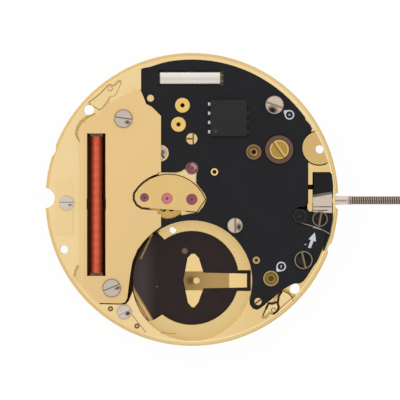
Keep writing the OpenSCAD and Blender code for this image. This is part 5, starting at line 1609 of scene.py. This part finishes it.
@dataclass
class Battery:
    """The contacts and the insulating film in the battery well.

    Attributes:
        shop: where its pieces are dressed.
    """

    shop: Shop

    def build(self) -> None:
        """Dresses the film and the contacts."""
        dress = self.shop.dress
        marks = ((-0.58, -4.21, 0.22, 0.09, (0.20, 0.11, 0.065)),
                 (-2.83, -7.11, 0.07, 0.03, (0.13, 0.10, 0.10)))
        dress(Film("insulating_film", (0.0135, 0.0060, 0.0056), (0.020, 0.0088, 0.0075), 1.2, 0.36, 0.22,
                   depth=0.004, spots=marks), "insulator")
        dress(SpringGilt("contact_gilt", (0.92, 0.66, 0.30), 0.28, Marks.BRUSHED_Y, 0.03, 0.001, 0.05),
              "negative_contact")
        dress(Metal("contact_plate_gilt", (0.90, 0.68, 0.35), 0.32, Marks.BRUSHED_X, 0.04, 0.001, 0.05),
              "positive_contact")
        dress(RingedMetal("contact_rivet_brass", (0.62, 0.43, 0.20), 0.30, Marks.TURNED, 0.08, 0.001, 0.03,
                          ((-6.60, -8.88), (-4.45, -10.28)), radii=(0.20, 0.20),
                          rings=((0.50, 1.00, (0.14, 0.075, 0.03)),)), "contact_rivets")
        dress(SlottedMetal("contact_screw_steel", (0.66, 0.57, 0.50), 0.24, Marks.BRUSHED_X, 0.08, 0.001,
                           0.04, ((-5.50, -9.14),), radii=(0.59,), rings=((0.92, 1.10, (0.40, 0.30, 0.20)),),
                           turns=(30.0,), slot_light_and_shade=((0.40, 0.34, 0.30), (0.80, 0.74, 0.68)),
                           reflections=((0.36, -0.42, 0.26, 0.16),), reflection_colour=(0.05, 0.035, 0.025)),
              "contact_screw")


@dataclass
class MotionWork:
    """The wheels on the dial side that turn the hands.

    Attributes:
        shop: where its pieces are dressed.
        minute_at: axis of the minute wheel.
        setting_at: axis of the setting wheel.
    """

    shop: Shop
    minute_at: Spot = (2.57, 0.40)
    setting_at: Spot = (5.56, -0.08)

    def build(self) -> None:
        """Dresses the motion wheels."""
        dress = self.shop.dress
        dress(Metal("hour_brass", (0.74, 0.52, 0.21), 0.26, Marks.TURNED), "hour_wheel")
        dress(Metal("minute_brass", (0.74, 0.52, 0.21), 0.26, Marks.TURNED, centres=(self.minute_at,)),
              "minute_wheel")
        dress(Metal("cannon_steel", (0.64, 0.60, 0.56), 0.18, Marks.TURNED, 0.03, 0.0008, 0.02),
              "cannon_pinion", "minute_pinion")
        dress(Metal("setting_steel", (0.60, 0.56, 0.52), 0.22, Marks.TURNED, 0.04, 0.0008, 0.02,
                    (self.setting_at,)), "setting_wheel")


@dataclass
class Keyless:
    """The stem and the parts that it works.

    Attributes:
        shop: where its pieces are made.
        pilot: start along X and radius of the pilot in the plate.
        square_side: side of the square that the clutch slides on.
        square_round: largest radius of the square's corners, as a share of half its side.
        square_lead: length of the square on the inner side of the clutch.
        collar_lead: distance of the collar from the clutch.
        collar_r: radius of the collar and of the shoulder.
        groove: start, end and radius of the setting lever's groove.
        shoulder_end: end of the shoulder along X.
        neck_r: radius of the neck beside the shoulder.
        thread: start, end, crest radius, root radius and pitch of the thread.
        run_in: length over which the thread grows to its depth.
        run_out: plain length at the tip, and length over which the thread fades before it.
        tip: length and depth of the tip's chamfer.
        softening: depth of the other chamfers.
        station: distance between the thread's stations.
        step_gap: distance of the two stations at a step from the step.
        sides: points round the stem.
    """

    shop: Shop
    pilot: Spot = (5.30, 0.20)
    square_side: float = 0.44
    square_round: float = 1.30
    square_lead: float = 0.40
    collar_lead: float = 0.12
    collar_r: float = 0.47
    groove: tuple[float, float, float] = (9.89, 10.23, 0.22)
    shoulder_end: float = 11.55
    neck_r: float = 0.37
    thread: tuple[float, float, float, float, float] = (12.68, 21.5, 0.35, 0.305, 0.18)
    run_in: float = 0.40
    run_out: Spot = (0.12, 0.20)
    tip: Spot = (0.10, 0.09)
    softening: float = 0.03
    station: float = 0.018
    step_gap: float = 0.002
    sides: int = 48

    def radius(self, x: np.ndarray, angle: np.ndarray, square_from: float, collar_from: float) -> np.ndarray:
        """Radius of the stem at each place along it and angle round it.

        The pilot, collar, groove, shoulder and neck are plain steps. The square's radius is half its
        side over the larger of |cos| and |sin| of the angle. The thread's radius falls from crest to
        root and back once each pitch, shifted round the stem by the angle, which makes a helix.

        Returns:
            The radii, stations by angles.
        """
        start, end, crest, root, pitch = self.thread
        half = self.square_side / 2
        corner = half / np.maximum(np.abs(np.cos(angle)), np.abs(np.sin(angle)))
        corner = np.minimum(corner, half * self.square_round)
        phase = (x - start) / pitch - angle / (2 * math.pi)
        wave = np.abs(2 * (phase - np.floor(phase)) - 1)
        plain, fade = self.run_out
        grow = np.clip((x - start) / self.run_in, 0, 1) * np.clip((end - plain - x) / fade, 0, 1)
        threaded = crest - (crest - root) * wave * grow
        length, depth = self.tip
        threaded = threaded - depth * (1 - np.clip((end - x) / length, 0, 1))
        neck = self.neck_r + (crest - self.neck_r) * np.clip((x - self.shoulder_end) /
                                                             (start - self.shoulder_end), 0, 1)
        out = np.where(x < square_from, self.pilot[1], corner)
        out = np.where(x >= collar_from, self.collar_r, out)
        out = np.where((x > self.groove[0]) & (x < self.groove[1]), self.groove[2], out)
        out = np.where(x > self.shoulder_end, neck, out)
        return np.where(x > start, threaded, out)

    def stem(self) -> Skin:
        """The stem: y = r cos t and z = r sin t at each x, with doubled stations at every step."""
        clutch_low, clutch_high = (corner.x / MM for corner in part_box("clutch"))
        square_from, collar_from = clutch_low - self.square_lead, clutch_high + self.collar_lead
        steps = [square_from, collar_from, self.groove[0], self.groove[1], self.shoulder_end]
        edges = np.array([x + side * self.step_gap for x in steps for side in (-1, 1)])
        softened = np.array([self.pilot[0], self.pilot[0] + self.softening,
                             self.shoulder_end - self.softening])
        start, end = self.thread[:2]
        fine = np.linspace(start, end, int((end - start) / self.station))
        x = np.unique(np.concatenate([edges, softened, fine]))[:, None]
        angle = np.linspace(0.0, 2 * math.pi, self.sides, endpoint=False)[None, :]
        reach = self.radius(x, angle, square_from, collar_from)
        reach = np.where(x <= self.pilot[0], reach - self.softening, reach)
        along = np.broadcast_to(x, reach.shape)
        return Skin(np.stack([along, STEM_AXIS[0] + reach * np.cos(angle),
                              STEM_AXIS[1] + reach * np.sin(angle)], -1))

    def build(self) -> None:
        """Makes the threaded stem and dresses the keyless works."""
        dress = self.shop.dress
        self.shop.make("threaded_stem", [self.stem()],
                       StemSteel("stem_steel", (0.66, 0.56, 0.48), 0.22, Marks.BRUSHED_X, 0.05, 0.0008, 0.0),
                       "stem_body", "steel", ("stem",))
        dress(Metal("works_steel", (0.62, 0.56, 0.50), 0.24, Marks.BRUSHED_X, 0.04, 0.0008, 0.03), "clutch",
              "clutch_fork", "fork_pin", "setting_lever")
        dress(JumperSteel("jumper_steel", (0.66, 0.56, 0.47), 0.20, Marks.BRUSHED_X, 0.05, 0.001, 0.03),
              "lever_jumper")
        dress(Lacquer("block_plastic", (0.005, 0.005, 0.007), (0.008, 0.007, 0.009), 6.0, 0.45, 0.16),
              "stem_guide_block")
        dress(CapPolish("cap_black_polish", (0.020, 0.019, 0.021), 0.16, Marks.POLISHED, 0.10, 0.0008, 0.03),
              "lever_cap")
        dress(RingedMetal("stud_black_polish", (0.022, 0.021, 0.023), 0.16, Marks.TURNED, 0.10, 0.0010, 0.03,
                          ((8.75, -1.35),), radii=(0.56,),
                          rings=((0.88, 0.98, (0.060, 0.055, 0.055)), (0.0, 0.16, (0.14, 0.13, 0.13)))),
              "pivot_stud")
        dress(SlottedMetal("keyless_screw_steel", DARK_STEEL, 0.16, Marks.POLISHED, 0.10, 0.0008, 0.02,
                           ((9.07, -4.92), (10.41, -1.59)), radii=(0.74, 0.62),
                           rings=((0.89, 0.98, (0.33, 0.28, 0.24)),), turns=(103.0, 80.0),
                           slot_light_and_shade=((0.30, 0.22, 0.15), (0.16, 0.10, 0.06)),
                           reflections=((0.0, 0.40, 0.30, 0.22), (0.0, 0.40, 0.20, 0.20)),
                           reflection_colour=(0.035, 0.030, 0.028)), "keyless_screws")


@dataclass
class CasingParts:
    """The clamp that holds the movement in its case, and the clamps for the dial's feet.

    Attributes:
        shop: where its pieces are dressed.
    """

    shop: Shop

    def build(self) -> None:
        """Dresses the clamps."""
        dress = self.shop.dress
        dress(Metal("clamp_gilt", (0.88, 0.66, 0.33), 0.34, Marks.BRUSHED_Y, 0.035, 0.001, 0.05),
              "casing_clamp")
        dress(ClampGilt("foot_clamp_gilt", (0.90, 0.69, 0.34), 0.32, Marks.FROSTED, 0.04, 0.001, 0.06),
              "left_foot_clamp", "right_foot_clamp")
        dress(SlottedMetal("clamp_screw_steel", (0.68, 0.60, 0.52), 0.24, Marks.BRUSHED_X, 0.05, 0.001, 0.04,
                           ((-10.17, -0.29),), radii=(0.585,), rings=((0.94, 1.10, (0.52, 0.42, 0.30)),),
                           turns=(0.0,), slot_light_and_shade=((0.78, 0.72, 0.64), (0.34, 0.29, 0.25)),
                           reflections=((0.50, -0.24, 0.16, 0.14),)), "clamp_screw")


@dataclass
class Studio:
    """The camera, the floor, the pale surroundings and the lamps.

    Attributes:
        width: width of the photograph's frame at the movement's upper face, in millimetres.
        middle: the frame's middle.
        face: height of that face.
        lens: focal length for a sensor of 36 mm.
        zenith: strength of the surroundings overhead.
        horizon: their strength at the horizon.
        lean: share by which they are brighter towards the upper left.
        reach: half of the floor's side, in millimetres.
        glow: share of the floor that glows white where the camera sees it.
    """

    width: float = 32.48
    middle: Spot = (0.666, -0.049)
    face: float = 1.9
    lens: float = 350.0
    zenith: float = 0.92
    horizon: float = 1.25
    lean: float = 0.14
    reach: float = 3000.0
    glow: float = 0.95

    def camera(self) -> None:
        """Looks straight down from where the frame is as wide as in the photograph."""
        view = bpy.data.cameras.new("camera")
        view.lens = self.lens
        view.clip_start = 0.001
        view.clip_end = 20.0
        eye = bpy.data.objects.new("camera", view)
        far = self.width * self.lens / view.sensor_width
        eye.location = (self.middle[0] * MM, self.middle[1] * MM, (self.face + far) * MM)
        bpy.context.scene.collection.objects.link(eye)
        bpy.context.scene.camera = eye

    def floor(self, height: float) -> None:
        """A wide pale floor that looks white and keeps a faint shadow.

        Args:
            height: the floor's height in millimetres.
        """
        material = bpy.data.materials.new("pale_floor")
        material.use_nodes = True
        paint = Paint(material.node_tree)
        ray = paint.node("ShaderNodeLightPath").outputs
        seen = Wave(paint, ray["Is Camera Ray"]).most(Wave(paint, ray["Is Glossy Ray"]))
        seen = seen.most(Wave(paint, ray["Is Transmission Ray"]))
        matt = paint.node("ShaderNodeBsdfDiffuse", {}, {"Color": (0.93, 0.93, 0.93)})
        glow = paint.node("ShaderNodeEmission", {}, {"Color": (1.0, 1.0, 1.0), "Strength": 1.0})
        mixed = paint.node("ShaderNodeMixShader", {},
                           {0: seen * self.glow, 1: matt.outputs[0], 2: glow.outputs[0]})
        paint.node("ShaderNodeOutputMaterial", {}, {"Surface": mixed.outputs[0]})
        far = self.reach
        skin = plated([(-far, -far), (far, -far), (far, far), (-far, far)], height - 1.0, height)
        points, tris = skin.triangles()
        mesh = bpy.data.meshes.new("floor")
        mesh.from_pydata((points * MM).tolist(), [], tris.tolist())
        mesh.materials.append(material)
        ground = bpy.data.objects.new("floor", mesh)
        bpy.context.scene.collection.objects.link(ground)
        ground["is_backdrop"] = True

    def surroundings(self) -> None:
        """Pale surroundings, a little brighter at the upper left.

        The strength is zenith + (horizon - zenith) (1 - height)^1.5.
        """
        world = bpy.data.worlds.new("surroundings")
        world.use_nodes = True
        bpy.context.scene.world = world
        paint = Paint(world.node_tree)
        way = paint.node("ShaderNodeTexCoord").outputs["Generated"]
        parts = paint.node("ShaderNodeSeparateXYZ", {}, {0: way}).outputs
        x, y, up = (Wave(paint, part) for part in parts)
        strength = (1.0 - up.most(0.0)) ** 1.5 * (self.horizon - self.zenith) + self.zenith
        strength = strength * ((y - x) * (self.lean * 0.7) + 1.0)
        sky = paint.node("ShaderNodeBackground", {}, {"Color": (1.0, 1.0, 1.0), "Strength": strength})
        paint.node("ShaderNodeOutputWorld", {}, {"Surface": sky.outputs[0]})

    def lamp(self, name: str, place: tuple[float, float, float], side: float, power: float) -> None:
        """A square soft lamp aimed at the movement.

        Args:
            name: the lamp's name.
            place: where it hangs, in millimetres.
            side: length of its side, in millimetres.
            power: power in watts.
        """
        light = bpy.data.lights.new(name, "AREA")
        light.size = side * MM
        light.energy = power
        lamp = bpy.data.objects.new(name, light)
        lamp.location = Vector(place) * MM
        lamp.rotation_euler = lamp.location.to_track_quat("Z", "Y").to_euler()
        bpy.context.scene.collection.objects.link(lamp)

    def build(self, height: float) -> None:
        """Sets up everything round the movement.

        Args:
            height: the floor's height in millimetres.
        """
        self.camera()
        self.floor(height)
        self.surroundings()
        self.lamp("key_lamp", (-170.0, 190.0, 210.0), 140.0, 0.12)
        self.lamp("fill_lamp", (220.0, -120.0, 200.0), 160.0, 0.04)
        bpy.context.scene.view_settings.view_transform = "Standard"


def corners(box: Any) -> list[list[float]]:
    """A box's two corners as plain lists of numbers."""
    return [[float(part) for part in corner] for corner in box]


def main() -> None:
    """Builds the movement's looks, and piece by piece."""
    logging.basicConfig(level=logging.INFO, format="%(message)s")
    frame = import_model()
    cad_box = corners(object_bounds())
    shop = Shop(frame)
    groups: list[Callable[[Shop], Any]] = [Plate, Bridge, Motor, Cover, Electronics, Battery, MotionWork,
                                          Keyless, CasingParts]
    for group in groups:
        group(shop).build()
    bare = sorted(set(frame["nodes"]) - shop.dressed)
    log.info("nodes without a finish: %s", bare)
    Studio().build(cad_box[0][2] / MM)


if __name__ == "__main__":
    main()
